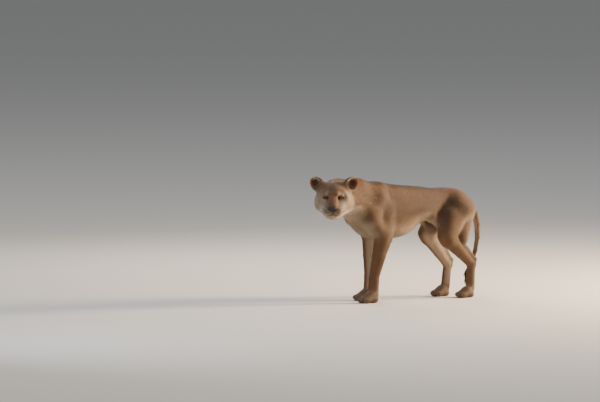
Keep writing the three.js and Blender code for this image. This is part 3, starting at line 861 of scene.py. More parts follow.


# The markings as weights from 0 to 1, painted shade and light among them: pale, dark, rust, and bare leather.
# out is the way out of the skin.
def markingsAndPaintedLightOf(points, out, parts):
    (x, y, z), (outX, outY, outZ), head = points.T, out.T, parts["headAt"]
    faced, tail, ear, legs, foot = (parts[name] for name in ("head", "tail", "ear", "legs", "foot"))
    body = (1 - faced) * (1 - tail)
    marks = {name: np.zeros(len(points)) for name in ("pale", "dark", "rustAndEarGlow", "bare")}
    pale, dark, rustAndEarGlow, bare = marks.values()

    def add(layer, weight):
        np.copyto(layer, layer + (1 - layer) * np.clip(weight, 0, 1))

    inner = fade(-np.sign(y) * outY, 0.15, 0.85) * legs
    add(pale, 0.85 * fade(outZ, -0.15, -1.0) * body * (1 - legs) * fade(z, 790, 690))
    add(pale, 0.8 * inner * (1 - foot))
    add(pale, 0.5 * fade(outX, 0.2, 1.0) * fade(x, 640, 760) * fade(z, 740, 600) * fade(z, 300, 460) * body)
    add(pale, 0.35 * fade(-outX, 0.3, 1.0) * fade(np.abs(y), 110, 10) * fade(z, 700, 560) * fade(z, 380, 500))
    add(pale, 0.25 * foot)
    add(pale, 0.5 * fade(outZ, -0.2, -1.0) * parts["neck"])
    spine = np.abs(y - fade(x, -100, -400) * -40)
    add(dark, 0.5 * fade(outZ, 0.45, 0.92) * fade(spine, 90, 15) * body)
    add(dark, 0.6 * fade(outZ, 0.45, 0.8) * fade(spine, 85, 40) * fade(x, -200, -60)
        * fade(x, 600, 470) * body)
    add(dark, 0.30 * fade(x, -130, 60) * fade(z, 540, 690) * (1 - legs) * body)
    add(dark, 0.14 * fade(x, 200, 420) * fade(z, 560, 690) * body)
    # Painted shade: a soft dark patch on each side, in the fold between the flank and the thigh
    add(dark, sum(0.20 * near(points, (560, side, 560), 60) for side in (-120, 120)))
    shin = fade(z, 300, 230) * fade(z, 60, 110) * fade(x, 600, 680)
    add(dark, 0.30 * fade(outX, 0.3, 0.9) * shin * (1 - tail))
    add(rustAndEarGlow, 0.15 * fade(outZ, 0.2, 0.9) * body)
    add(rustAndEarGlow, 0.17 * fade(-outX, 0.0, 1.0) * legs)
    add(dark, fade(parts["tailPlace"], 5.6, 6.5) * tail)
    add(pale, 0.5 * fade(-outX, 0.2, 0.8) * tail * (1 - fade(parts["tailPlace"], 4.5, 5.5)))

    side = np.abs(head[:, 1])
    mirrored = head * mirrorOf(head)
    add(pale, 0.98 * fade(head[:, 2], -92, -116) * faced)
    for name, weight, place, radius in faceSpots:
        add(marks[name], weight * near(mirrored, place, radius) * faced)
    bridge, brow = near(mirrored, (60, 0, 6), 40), near(mirrored, (-50, 30, 58), 60)
    add(rustAndEarGlow, 0.40 * bridge * faced + 0.20 * brow * faced)
    add(dark, 0.24 * fade(side, 40, 12) * fade(head[:, 0], 0, -50) * faced)

    for s in (-1, 1):
        here = lengthOf(head - (14, s * eyeSpread, 0)) < 40
        outside = eyeOpening(s).distance(points)
        add(dark, fade(outside, 4.2, 1.8) * here)
        add(bare, fade(outside, 2.2, 1.0) * here)
        add(dark, 0.7 * near(head, (20, s * 39, -6), 6))
        add(bare, near(head, (20, s * 43, -3), 5) * here)
    lines = (tearLine, mouthLine, cleftLine, nostrilLine)
    tearGap, mouthGap, cleftGap, nostrilGap = (alongLine(points, line)[0] for line in lines)
    add(dark, 0.8 * fade(tearGap, 7, 2))
    add(dark, 0.95 * fade(mouthGap, 7.5, 3) * fade(head[:, 0], 26, 60))
    add(bare, fade(mouthGap, 5.5, 3) * fade(head[:, 0], 26, 60))
    add(dark, 0.9 * fade(cleftGap, 5, 2))
    leather = fade(fieldAt(points, noseShapes()), 4.0, 2.0) * faced
    add(bare, leather)
    add(dark, 0.9 * fade(nostrilGap, 8, 4) * leather)
    for spot in whiskerSpots:
        add(dark, 0.9 * fade(lengthOf(points - spot), whiskerSizes["spot"] + 1, 1.0))

    earAt = parts["earAt"]
    cup = cupReach(earAt)
    inCup = fade(cup, 1.05, 0.98) * ear
    rim = fade(np.abs(cup - 1.06), 0.12, 0.04) * ear
    add(pale, 0.85 * fade(cup, 1.16, 1.06) * ear * fade(earAt[:, 1], 6, -16) + 0.1 * inCup)
    # Painted glow: bright rust over the ear's cup stands in for light shining through the thin ear
    add(rustAndEarGlow, 0.95 * inCup * fade(earAt[:, 1], -34, -8))
    # Painted shade: darker deep in the middle of the ear's cup
    add(dark, 0.3 * fade(lengthOf(earAt - (-10, -4, -8)), 17, 7) * inCup)
    # Painted glow on the ear's rim as well, light shining through it
    add(rustAndEarGlow, 0.9 * rim)
    behind = ear * (1 - inCup) * fade(earAt[:, 0], 6, -8)
    add(dark, 0.92 * behind * fade(earAt[:, 2], 40, 26) * fade(earAt[:, 2], -24, -8))
    add(dark, fade(z, 7, 2) * foot)
    add(dark, 0.4 * fade(z, 42, 22) * foot * fade(-outX, 0.75, 0.2))
    return np.stack(list(marks.values()), 1)


# Which way the hair lies, along the skin
def lieOf(points, out, parts):
    (_, y, z), outZ, head = points.T, out[:, 2], parts["headAt"]
    zero = np.zeros(len(points))
    side = np.sign(y)
    trunk = np.stack([1 + zero, 0.10 * side, -0.34 * fade(outZ, 0.9, 0.1)], 1)
    belly = np.stack([1 + zero, -0.25 * side, zero], 1)
    leg = np.stack([0.20 + 0.30 * fade(z, 330, 550), 0 * side, -1 + zero], 1)
    neck = np.stack([1 + zero, 0.15 + zero, -0.30 * fade(outZ, 0.8, -0.2)], 1)
    forward, across, up = (head * mirrorOf(head)).T
    backward = np.stack([-1 + zero, 0.9 * fade(across, 8, 60) * fade(forward, 60, -40),
                         -0.55 * fade(across, 50, 110) + 0.25 * fade(up, 0, 60)], 1)
    face = (backward * mirrorOf(head)) @ headAxes
    earUp = np.zeros_like(face)
    for s in (-1, 1):
        here = np.sign(head[:, 1]) == s
        _, across, up = pairFrame(earSizes["forward"], earSizes["up"], s)
        outward = (0.2 + 1.2 * fade(parts["earAt"][:, 1], 4, -18))[:, None] * s * across
        earUp[here] = ((up + outward) @ headAxes)[here]
    step = unit(np.diff(tailLine[:, :3], axis=0))
    place = np.clip(parts["tailPlace"].astype(int), 0, len(step) - 1)
    down = fade(outZ, -0.05, -0.7)
    lie = trunk + (belly - trunk) * down[:, None]
    for weight, way in ((parts["neck"], neck), (parts["legs"], leg), (parts["tail"], step[place]),
                        (parts["head"], face), (parts["ear"] * parts["head"], earUp)):
        lie = lie + (unit(way) - lie) * weight[:, None]
    lie = lie - out * (lie * out).sum(1, keepdims=True)
    return unit(lie)


slope = unit(slopeAt(skinPoints, flesh))
skinParts = partsOf(skinPoints)
zones = markingsAndPaintedLightOf(skinPoints, slope, skinParts)
lie = lieOf(skinPoints, slope, skinParts)
storeOn(skin.data, "zones", "FLOAT_COLOR", zones)
storeOn(skin.data, "lie", "FLOAT_VECTOR", lie)
storeOn(skin.data, "out", "FLOAT_VECTOR", slope)
# Streaks lie along x on the trunk, along z on legs and tail, and along the head on the head
limb, headed = np.maximum(skinParts["legs"], skinParts["tail"]), skinParts["head"]
streakWeights = np.stack([(1 - limb) * (1 - headed), limb * (1 - headed), headed], 1)
storeOn(skin.data, "streaks", "FLOAT_VECTOR", streakWeights)
report("markings and lie")

# Tawny is short warm hair, roots in painted shade, tips paler: a matt, sandy surface with a soft sheen.
coatColours = {
    "tawny": "#6a523a",
    "tawnyWarm": "#62482f",
    "pale": "#b9a48c",
    "dark": "#221a16",
    # rust is the coat's rufous tone, made bright enough to serve as painted glow through the ears too
    "rustAndEarGlow": "#a05a2c",
    "leather": "#4a3330",
    "leatherRim": "#1d1716",
}
coatSheen = {"Specular IOR Level": 0.35, "Sheen Weight": 0.12, "Sheen Roughness": 0.5}
mixColours = ("ShaderNodeMix", {"data_type": "RGBA"})


# The coat's colour at a place, from its markings (painted shade and light among them) and from noise broad
# as a hand and fine as a lock. Gives the markings' weights and how bare the place is too.
def coatColour(tree):
    place = addNode(tree, "ShaderNodeTexCoord").outputs["Object"]
    zone = addNode(tree, "ShaderNodeAttribute", {"attribute_name": "zones"})
    weights = addNode(tree, "ShaderNodeSeparateColor", None, {"Color": zone.outputs["Color"]}).outputs
    broad = addNode(tree, "ShaderNodeTexNoise", None, {"Vector": place, "Scale": 9.0, "Detail": 3.0})
    fine = addNode(tree, "ShaderNodeTexNoise", None, {"Vector": place, "Scale": 130.0, "Detail": 2.0})
    patches = addNode(tree, "ShaderNodeMapRange", None, {
        "Value": broad.outputs["Fac"], "From Min": 0.38, "From Max": 0.64})
    colour = addNode(tree, *mixColours, {
        0: patches, 6: srgb(coatColours["tawny"]), 7: srgb(coatColours["tawnyWarm"])}).outputs[2]
    for name, weight in (("rustAndEarGlow", weights["Blue"]), ("pale", weights["Red"]), ("dark", weights["Green"])):
        colour = addNode(tree, *mixColours, {0: weight, 6: colour, 7: srgb(coatColours[name])}).outputs[2]
    speckle = addNode(tree, "ShaderNodeMapRange", None, {
        "Value": fine.outputs["Fac"], "From Min": 0.3, "From Max": 0.7, "To Min": 0.86, "To Max": 1.12})
    shade = addNode(tree, "ShaderNodeVectorMath", {"operation": "SCALE"}, {0: colour, "Scale": speckle})
    return shade.outputs[0], weights, zone.outputs["Alpha"]


# finish holds the inputs of the surface that are the same all over
def newMaterial(name, finish):
    material = bpy.data.materials.new(name)
    material.use_nodes = True
    surface = material.node_tree.nodes["Principled BSDF"]
    for key, value in finish.items():
        surface.inputs[key].default_value = value
    return material, material.node_tree, surface


# Short coat seen as a surface: streaks as wide as a lock, lying along each part, stand in for single hairs.
# Nose leather is darker and a little glossy, in fine pebbles.
def makeSkinMaterial():
    material, tree, surface = newMaterial("short tawny coat and nose leather", coatSheen)
    colour, weights, bare = coatColour(tree)
    place = addNode(tree, "ShaderNodeTexCoord").outputs["Object"]
    cobbles = addNode(tree, "ShaderNodeTexVoronoi", {"feature": "DISTANCE_TO_EDGE"}, {
        "Vector": place, "Scale": 700.0})
    pebble = addNode(tree, "ShaderNodeMapRange", None, {
        "Value": cobbles.outputs["Distance"], "From Max": 0.25})
    rim = srgb(coatColours["leatherRim"])
    leather = addNode(tree, *mixColours, {0: pebble, 6: rim, 7: srgb(coatColours["leather"])}).outputs[2]
    darkest = addNode(tree, *mixColours, {0: weights["Green"], 6: leather, 7: rim}).outputs[2]
    mixed = addNode(tree, *mixColours, {0: bare, 6: colour, 7: darkest})
    tree.links.new(mixed.outputs[2], surface.inputs["Base Color"])
    gloss = addNode(tree, "ShaderNodeMapRange", None, {"Value": bare, "To Min": 0.78, "To Max": 0.58})
    tree.links.new(gloss.outputs["Result"], surface.inputs["Roughness"])
    which = addNode(tree, "ShaderNodeAttribute", {"attribute_name": "streaks"})
    share = addNode(tree, "ShaderNodeSeparateXYZ", None, {"Vector": which.outputs["Vector"]}).outputs
    height = 0.0
    streaks = (("X", (45, 330, 330), 0), ("Y", (330, 330, 45), 0), ("Z", (60, 420, 420), headPose["yaw"]))
    for axis, scale, turn in streaks:
        strand = addNode(tree, "ShaderNodeMapping", {"vector_type": "TEXTURE"}, {
            "Vector": place, "Rotation": (0, 0, math.radians(turn)), "Scale": tuple(1 / s for s in scale)})
        noise = addNode(tree, "ShaderNodeTexNoise", None, {
            "Vector": strand, "Scale": 1.0, "Detail": 2.0, "Distortion": 0.4})
        height = addNode(tree, "ShaderNodeMath", {"operation": "MULTIPLY_ADD"}, {
            0: noise.outputs["Fac"], 1: share[axis], 2: height})
    relief = addNode(tree, "ShaderNodeMix", {"data_type": "FLOAT"}, {0: bare, 2: height, 3: pebble})
    bump = addNode(tree, "ShaderNodeBump", None, {"Height": relief, "Strength": 0.4, "Distance": 0.001})
    tree.links.new(bump.outputs["Normal"], surface.inputs["Normal"])
    return material


skin.data.materials.append(makeSkinMaterial())

# The coat is tufts that overlap along the skin, pointed blades with a ridge. Lengths are in millimetres;
# width, thickness and rise are shares of the length; cover is how many tufts lie over each place.
coatSizes = {
    "length": {"trunk": 18, "belly": 22, "neck": 21, "leg": 12, "foot": 7, "tail": 13, "ear": 5.5},
    "face": {"nose": 4.5, "front": 6, "forehead": 10, "cheek": 15, "ruff": 22, "lid": 3.4},
    # long hair: its length, and how many times the usual cover it has
    "long": {"belly": (36, 1.5), "throat": (28, 1.0), "elbow": (28, 1.2), "thigh": (26, 0.8),
             "ruff": (30, 1.6), "earFringe": (26, 7), "tailTuft": (60, 40)},
    "scatter": 0.25,  # how much lengths differ, as a share
    "roll": 0.5,  # how far a tuft may turn about its own length, in radians
    "soften": 0.58,  # how far a tuft's shading leans to the skin's
    "floorGap": 0.0004,  # in metres
}
tuftKinds = {
    "spike": {"rings": ((0.0, 1.0),), "width": 0.18, "thick": 0.05, "rise": 0.125, "cover": 2.2},
    "lock": {"rings": ((0.0, 0.7), (0.35, 1.0), (0.7, 0.7)), "width": 0.07, "thick": 0.03, "rise": 0.22,
             "cover": 0.8},
}
tuftShape = {"behind": 0.05, "under": 0.03}  # how far its first ring lies behind and under its root
tuftFilled = 0.55  # its outline, as a share of its length times its width
squareMillimetre = 1e-6
# Each layer's pieces, by region; what the skin stores for it; how far tufts lift and stray, in radians; and
# its material's name, with how bright the roots, in painted shade, and the tips are
coatLayers = [
    {
        "names": ["coat_face_left", "coat_face_right", "coat_neck", "coat_shoulder_left",
                  "coat_shoulder_right", "coat_flank_left", "coat_flank_right", "coat_rump_left",
                  "coat_rump_right", "coat_foreleg_left", "coat_foreleg_right", "coat_hind_leg_left",
                  "coat_hind_leg_right", "coat_tail"],
        "kind": "spike",
        "stored": ("region", "furLength", "furDensity"),
        "firstSeed": 41,
        "lift": 0.06,
        "stray": 0.22,
        "hair": ("short guard hair, tawny", 0.82, 1.06),
    },
    {
        "names": ["long_hair_body", "long_hair_head", "tail_tuft_hair"],
        "kind": "lock",
        "stored": ("longRegion", "longLength", "longDensity"),
        "firstSeed": 81,
        "lift": 0.18,
        "stray": 0.28,
        "hair": ("long soft hair", 0.72, 1.10),
    },
]


# One tuft along +X, one unit long, rooted just under the skin. place is how far across and along a point is.
def makeTuft(name, kind):
    points, place = [], []
    for along, wide in kind["rings"]:
        isRoot = along == 0
        height = kind["rise"] * (1 - (1 - along) ** 2) - tuftShape["under"] * isRoot
        half = kind["width"] * wide / 2
        for across, up in ((-1, 0), (1, 0), (0, kind["thick"])):
            points.append((along - tuftShape["behind"] * isRoot, across * half, height + up))
            place.append((across / 2 + 0.5, along, 0))
    points.append((1, 0, kind["rise"]))
    place.append((0.5, 1, 0))
    faces = [(0, 1, 2)]
    for i in range(0, len(points) - 4, 3):
        for j in range(3):
            k = (j + 1) % 3
            faces += [(i + j, i + 3 + k, i + k), (i + j, i + 3 + j, i + 3 + k)]
    last = len(points) - 4
    faces += [(last + j, len(points) - 1, last + (j + 1) % 3) for j in range(3)]
    tuft = meshOf(name, points, faces)
    storeOn(tuft.data, "place", "FLOAT_VECTOR", np.array(place))
    faceOutwards(tuft.data)
    tuft.hide_render = tuft.hide_viewport = True
    return tuft


# Scatters roots over one region of the skin, turns a tuft at each along the lie, and makes them real
def makeTuftTree():
    tree = bpy.data.node_groups.new("tufts along the lie", "GeometryNodeTree")
    wanted = {"Skin": "Geometry", "Tuft": "Object", "Hair": "Material", "Region": "Int",
              "Region name": "String", "Length name": "String", "Density name": "String", "Cover": "Float",
              "Lift": "Float", "Stray": "Float", "Scatter": "Float", "Seed": "Int"}
    for name, kind in wanted.items():
        tree.interface.new_socket(name, in_out="INPUT", socket_type="NodeSocket" + kind)
    tree.interface.new_socket("Coat", in_out="OUTPUT", socket_type="NodeSocketGeometry")
    given = addNode(tree, "NodeGroupInput").outputs
    read = [(given["Region name"], "INT"), (given["Density name"], "FLOAT"), (given["Length name"], "FLOAT"),
            ("OFBake", "FLOAT_VECTOR"), ("out", "FLOAT_VECTOR"), ("lie", "FLOAT_VECTOR")]
    region, density, length, unwrapped, out, lie = (
        addNode(tree, "GeometryNodeInputNamedAttribute", {"data_type": kind}, {"Name": name})
        for name, kind in read)
    here = addNode(tree, "FunctionNodeCompare", {"data_type": "INT", "operation": "EQUAL"}, {
        2: region, 3: given["Region"]})
    crowd = addNode(tree, "ShaderNodeMath", {"operation": "MULTIPLY"}, {0: density, 1: given["Cover"]})
    roots = addNode(tree, "GeometryNodeDistributePointsOnFaces", None, {
        "Mesh": given["Skin"], "Selection": here, "Density": crowd, "Seed": given["Seed"]})
    tint = addNode(tree, "FunctionNodeRandomValue", None, {8: 3})
    tinted = addNode(tree, "GeometryNodeStoreNamedAttribute", None, {
        "Geometry": roots, "Name": "tint", "Value": tint.outputs[1]})
    rooted = addNode(tree, "GeometryNodeStoreNamedAttribute", {"data_type": "FLOAT_VECTOR"}, {
        "Geometry": tinted, "Name": "rootPlace", "Value": unwrapped})
    bare = addNode(tree, "GeometryNodeRemoveAttribute", None, {"Geometry": rooted, "Name": "OFBake"})
    stand = addNode(tree, "FunctionNodeAxesToRotation", {"primary_axis": "Z", "secondary_axis": "X"}, {
        0: out, 1: lie})
    chance = addNode(tree, "FunctionNodeRandomValue", {"data_type": "FLOAT_VECTOR"}, {
        0: (-1.0, -1.0, -1.0), 1: (1.0, 1.0, 1.0), 8: 5})
    reach = addNode(tree, "ShaderNodeCombineXYZ", None, {
        "X": coatSizes["roll"], "Y": given["Lift"], "Z": given["Stray"]})
    swing = addNode(tree, "ShaderNodeVectorMath", {"operation": "MULTIPLY"}, {0: chance, 1: reach})
    lean = addNode(tree, "FunctionNodeEulerToRotation", None, {0: swing})
    turned = addNode(tree, "FunctionNodeRotateRotation", {"rotation_space": "LOCAL"}, {0: stand, 1: lean})
    less = addNode(tree, "ShaderNodeMath", {"operation": "SUBTRACT"}, {0: 1.0, 1: given["Scatter"]})
    more = addNode(tree, "ShaderNodeMath", {"operation": "ADD"}, {0: 1.0, 1: given["Scatter"]})
    share = addNode(tree, "FunctionNodeRandomValue", None, {2: less, 3: more, 8: 7})
    size = addNode(tree, "ShaderNodeMath", {"operation": "MULTIPLY"}, {0: length, 1: share.outputs[1]})
    shape = addNode(tree, "GeometryNodeObjectInfo", None, {"Object": given["Tuft"]})
    tufts = addNode(tree, "GeometryNodeInstanceOnPoints", None, {
        "Points": bare, "Instance": shape.outputs["Geometry"], "Rotation": turned, "Scale": size})
    real = addNode(tree, "GeometryNodeRealizeInstances", None, {"Geometry": tufts})
    own = addNode(tree, "GeometryNodeInputNormal")
    softened = addNode(tree, "ShaderNodeMix", {"data_type": "VECTOR"}, {
        0: coatSizes["soften"], 4: own, 5: out})
    soft = addNode(tree, "GeometryNodeSetMeshNormal", {"mode": "FREE"}, {
        "Mesh": real, "Custom Normal": softened.outputs[1]})
    done = addNode(tree, "GeometryNodeSetMaterial", None, {"Geometry": soft, "Material": given["Hair"]})
    addNode(tree, "NodeGroupOutput", None, {0: done})
    return tree


# Hair seen tuft by tuft: the skin's markings, shaded roots, paler tips, each tuft a little lighter or darker
def makeHairMaterial(name, low, high):
    material, tree, surface = newMaterial(name, {"Roughness": 0.72, **coatSheen})
    tint = addNode(tree, "ShaderNodeAttribute", {"attribute_name": "tint"}).outputs["Fac"]
    place = addNode(tree, "ShaderNodeAttribute", {"attribute_name": "place"}).outputs["Vector"]
    along = addNode(tree, "ShaderNodeSeparateXYZ", None, {"Vector": place}).outputs["Y"]
    byTuft = addNode(tree, "ShaderNodeMapRange", None, {"Value": tint, "To Min": 0.9, "To Max": 1.1})
    # Painted shade: each tuft darkens towards its root; its tip is paler
    rootShadeAndPaleTips = addNode(tree, "ShaderNodeMapRange", None, {"Value": along, "To Min": low, "To Max": high})
    both = addNode(tree, "ShaderNodeMath", {"operation": "MULTIPLY"}, {0: byTuft, 1: rootShadeAndPaleTips})
    colour = coatColour(tree)[0]
    shade = addNode(tree, "ShaderNodeVectorMath", {"operation": "SCALE"}, {0: colour, "Scale": both})
    tree.links.new(shade.outputs[0], surface.inputs["Base Color"])
    return material


# For short and long hair: its length over the skin, and its share of the usual cover
def coatLengths(points, out, parts, marks):
    short, face, long = coatSizes["length"], coatSizes["face"], coatSizes["long"]
    (x, y, z), (outX, _, outZ), head, ear = points.T, out.T, parts["headAt"], parts["earAt"]
    mirrored = head * mirrorOf(head)
    side = mirrored[:, 1]
    under = fade(outZ, -0.25, -0.85) * (1 - parts["legs"])
    faceLength = face["nose"] + (face["front"] - face["nose"]) * fade(head[:, 0], 110, 60)
    faceLength = faceLength + (face["forehead"] - face["front"]) * fade(head[:, 0], 10, -50)
    faceLength = faceLength + (face["cheek"] - face["front"]) * fade(side, 66, 92) * fade(head[:, 0], 50, 0)
    ruff = fade(side, 100, 125) * fade(head[:, 0], 0, -60) * fade(head[:, 2], 20, -20)
    faceLength = faceLength + (face["ruff"] - face["cheek"]) * ruff
    lids = fade(lengthOf(mirrored - (8, eyeSpread - 4, 0)), 46, 30)
    faceLength = faceLength + (face["lid"] - faceLength) * lids
    length = short["trunk"] + (short["belly"] - short["trunk"]) * under
    for part, own in (("neck", short["neck"]), ("legs", short["leg"]), ("foot", short["foot"]),
                      ("tail", short["tail"]), ("head", faceLength)):
        length = length + (own - length) * parts[part]
    length = length + (short["ear"] - length) * (parts["ear"] * parts["head"])
    bald = np.maximum(fade(marks[:, 3], 0.2, 0.6), fade(z, 5, 2))

    body = (1 - parts["head"]) * (1 - parts["tail"])
    cup = cupReach(ear)
    fringe = fade(cup, 1.14, 1.06) * fade(ear[:, 0], -2, 8) * parts["ear"] * parts["head"]
    places = {
        "belly": fade(outZ, -0.5, -0.9) * body * (1 - parts["legs"]) * fade(x, 40, 120),
        "throat": fade(outZ, -0.1, -0.6) * parts["neck"],
        "elbow": fade(outX, 0.4, 0.9) * fade(np.abs(z - 455), 90, 30) * (x < 250) * fade(np.abs(y), 60, 90),
        "thigh": fade(outX, 0.3, 0.8) * fade(x, 620, 700) * fade(z, 300, 400) * fade(z, 640, 540) * body,
        "ruff": near(mirrored, (-70, 128, -72), 44) * parts["head"] * (1 - parts["ear"]),
        "earFringe": fringe * fade(ear[:, 2], 38, 20) * fade(ear[:, 1], 6, -14),
        "tailTuft": fade(parts["tailPlace"], 5.7, 6.3) * parts["tail"],
    }
    longLength, longShare = np.full(len(points), 10.0), np.zeros(len(points))
    for name, weight in places.items():
        reach, crowd = long[name]
        weight = weight * (weight > 0.1)
        longLength = np.where(weight * crowd > longShare, reach * (0.7 + 0.3 * weight), longLength)
        longShare = np.maximum(longShare, weight * crowd)
    return (length, 1 - bald), (longLength, longShare)


def facesOf(mesh):
    corners = np.empty(len(mesh.loops), np.int32)
    mesh.loops.foreach_get("vertex_index", corners)
    return corners.reshape(-1, 3)


# Each face's region is its piece's place among the layer's names. The first row that holds decides.
def storeRegions(mesh, points):
    middle = points[facesOf(mesh)].mean(1)
    parts = partsOf(middle)
    x, y, z = middle.T
    head, tail, right = parts["head"] > 0.5, parts["tail"] > 0.5, y >= 0
    rows = [
        ("coat_face_left", head, parts["headAt"][:, 1] <= 0),
        ("coat_tail", tail, 0),
        ("coat_hind_leg_left", (x > 420) & (z < 400), right),
        ("coat_foreleg_left", (x < 250) & (z < 452), right),
        ("coat_neck", (x < -150) & (z > 520), 0),
        ("coat_shoulder_left", x < 170, right),
        ("coat_flank_left", x < 470, right),
        ("coat_rump_left", x >= 470, right),
    ]
    names = coatLayers[0]["names"]
    short = np.select([here for _, here, _ in rows], [names.index(name) + step for name, _, step in rows])
    long = np.select([head, tail], [1, 2], 0)
    for layer, region in zip(coatLayers, (short, long)):
        storeOn(mesh, layer["stored"][0], "INT", region.astype(np.int32), "FACE")


def storeCoat(mesh, points, out, parts, marks):
    for layer, (length, share) in zip(coatLayers, coatLengths(points, out, parts, marks)):
        covered = tuftKinds[layer["kind"]]["width"] * (tuftFilled * squareMillimetre)
        storeOn(mesh, layer["stored"][1], "FLOAT", length / 1000)
        storeOn(mesh, layer["stored"][2], "FLOAT", share / (length * length * covered))


def dropStored(mesh, names):
    for name in names:
        if name in mesh.attributes:
            mesh.attributes.remove(mesh.attributes[name])


# One piece of coat: the tree runs over a copy of the skin, and its result becomes a plain mesh
def growCoat(name, region, layer, template, hair):
    piece = bpy.data.objects.new(name, skin.data)
    grow = piece.modifiers.new("coat", "NODES")
    grow.node_group = tuftTree
    socket = {item.name: item.identifier for item in tuftTree.interface.items_tree if item.in_out == "INPUT"}
    regionName, lengthName, densityName = layer["stored"]
    given = {"Tuft": template, "Hair": hair, "Region": region, "Region name": regionName,
             "Length name": lengthName, "Density name": densityName, "Lift": layer["lift"],
             "Cover": tuftKinds[layer["kind"]]["cover"], "Stray": layer["stray"],
             "Scatter": coatSizes["scatter"], "Seed": layer["firstSeed"] + region}
    for key, value in given.items():
        grow[socket[key]] = value
    bpy.context.collection.objects.link(piece)
    evaluated = piece.evaluated_get(bpy.context.evaluated_depsgraph_get())
    mesh = bpy.data.meshes.new_from_object(evaluated)
    piece.modifiers.remove(grow)
    piece.data = mesh
    mesh.name = name
    count = len(mesh.vertices)
    root, place = np.empty(count * 3, np.float32), np.empty(count * 3, np.float32)
    mesh.attributes["rootPlace"].data.foreach_get("vector", root)
    mesh.attributes["place"].data.foreach_get("vector", place)
    spot = root.reshape(-1, 3)[:, :2] + (place.reshape(-1, 3)[:, :2] - 0.5) * unwrapSizes["tuftPatch"]
    spot = np.clip(spot, 0, 1)[facesOf(mesh).ravel()]
    mesh.uv_layers.new(name="OFBake").data.foreach_set("uv", spot.ravel())
    dropStored(mesh, ["rootPlace", "streaks", *workNames])
    low = pointsOf(mesh)
    low[:, 2] = np.maximum(low[:, 2], coatSizes["floorGap"])
    mesh.vertices.foreach_set("co", low.ravel())
    mesh.update()
    report(f"{name}: {len(mesh.polygons)} triangles")
    return piece


storeRegions(skin.data, skinPoints)
storeCoat(skin.data, skinPoints, slope, skinParts, zones)
tuftTree = makeTuftTree()
workNames = ["lie", "out"] + [name for layer in coatLayers for name in layer["stored"]]
coat = {}
for layer in coatLayers:
    template = makeTuft("tuft_" + layer["kind"], tuftKinds[layer["kind"]])
    hair = makeHairMaterial(*layer["hair"])
    for region, name in enumerate(layer["names"]):
        coat[name] = growCoat(name, region, layer, template, hair)
    bpy.data.objects.remove(template)
dropStored(skin.data, workNames)


# A ball with close rings at the front, where the cornea swells. fromPupil is how far out a point lies.
def makeEye(side):
    look = pairFrame(eyeSizes["lookForward"], (0, 0, 1), side)
    around, half, dense = eyeSizes["around"], eyeSizes["rings"] // 2, eyeSizes["denseTo"]
    angle = np.concatenate([np.linspace(0, dense, half), np.linspace(dense, math.pi, half + 1)[1:]])
    turns = np.linspace(0, 2 * math.pi, around, endpoint=False)
    points, faces = [], []
    for i, a in enumerate(angle):
        radius = eyeRadius + eyeSizes["corneaHeight"] * math.exp(-(a / eyeSizes["corneaReach"]) ** 4)
        forward, ring = np.full(around, radius * math.cos(a)), radius * math.sin(a)
        points.append(np.stack([forward, ring * np.cos(turns), ring * np.sin(turns)], 1))
        if i:
            for j in range(around):
                k = (j + 1) % around
                faces.append([(i - 1) * around + j, i * around + j, i * around + k, (i - 1) * around + k])
    head = (0, side * eyeSpread, 0) + np.concatenate(points) @ look
    eye = meshOf("eyeball_left" if side > 0 else "eyeball_right", toFrame(headPoint(head)), faces)
    spread = np.repeat(eyeRadius * np.sin(np.minimum(angle, math.pi / 2)), around)
    storeOn(eye.data, "fromPupil", "FLOAT", spread)
    faceOutwards(eye.data, merge=1e-5)
    return eye


# A wet cornea over an amber iris: a sharp highlight, a small round pupil and a dark ring round the iris
def makeEyeMaterial():
    finish = {"Roughness": 0.2, "Specular IOR Level": 0.05, "Coat Weight": 0.3, "Coat Roughness": 0.03}
    material, tree, surface = newMaterial("wet cornea over amber iris", finish)
    place = addNode(tree, "ShaderNodeTexCoord").outputs["Object"]
    spread = addNode(tree, "ShaderNodeAttribute", {"attribute_name": "fromPupil"}).outputs["Fac"]
    share = addNode(tree, "ShaderNodeMath", {"operation": "DIVIDE"}, {0: spread, 1: float(eyeRadius)})
    ramp = addNode(tree, "ShaderNodeValToRGB", None, {"Fac": share})
    pupil, iris = eyeSizes["pupil"] / eyeRadius, eyeSizes["iris"] / eyeRadius
    stops = ((0.0, "#050403"), (pupil, "#060403"), (pupil + 0.02, "#654b1e"), ((pupil + iris) / 2, "#a37a30"),
             (iris - 0.06, "#835a24"), (iris, "#1c110a"), (iris + 0.06, "#20140e"), (0.98, "#3a2a22"))
    elements = ramp.color_ramp.elements
    for i, (at, code) in enumerate(stops):
        stop = elements[i] if i < 2 else elements.new(at)
        stop.position, stop.color = at, srgb(code)
    fibres = addNode(tree, "ShaderNodeTexNoise", None, {"Vector": place, "Scale": 900.0, "Detail": 3.0})
    fleck = addNode(tree, "ShaderNodeMapRange", None, {
        "Value": fibres.outputs["Fac"], "From Min": 0.3, "From Max": 0.7, "To Min": 0.75, "To Max": 1.2})
    shade = addNode(tree, "ShaderNodeVectorMath", {"operation": "SCALE"}, {0: ramp, "Scale": fleck})
    tree.links.new(shade.outputs[0], surface.inputs["Base Color"])
    return material


eyeMaterial = makeEyeMaterial()
eyes = {"eye_left": makeEye(1), "eye_right": makeEye(-1)}
for eye in eyes.values():
    eye.data.materials.append(eyeMaterial)
report("eyes")

# Claws lie drawn in: only their tips show between the toes' hair. Stiff tapered hairs make the whiskers.
clawSizes = {
    "ahead": 97,  # of the foot's middle
    "height": 22,
    "root": (9, 0, 3),
    "length": 17,
    "drop": 7,
    "radius": 3.0,
    "rings": 6,
    "sides": 8,
}


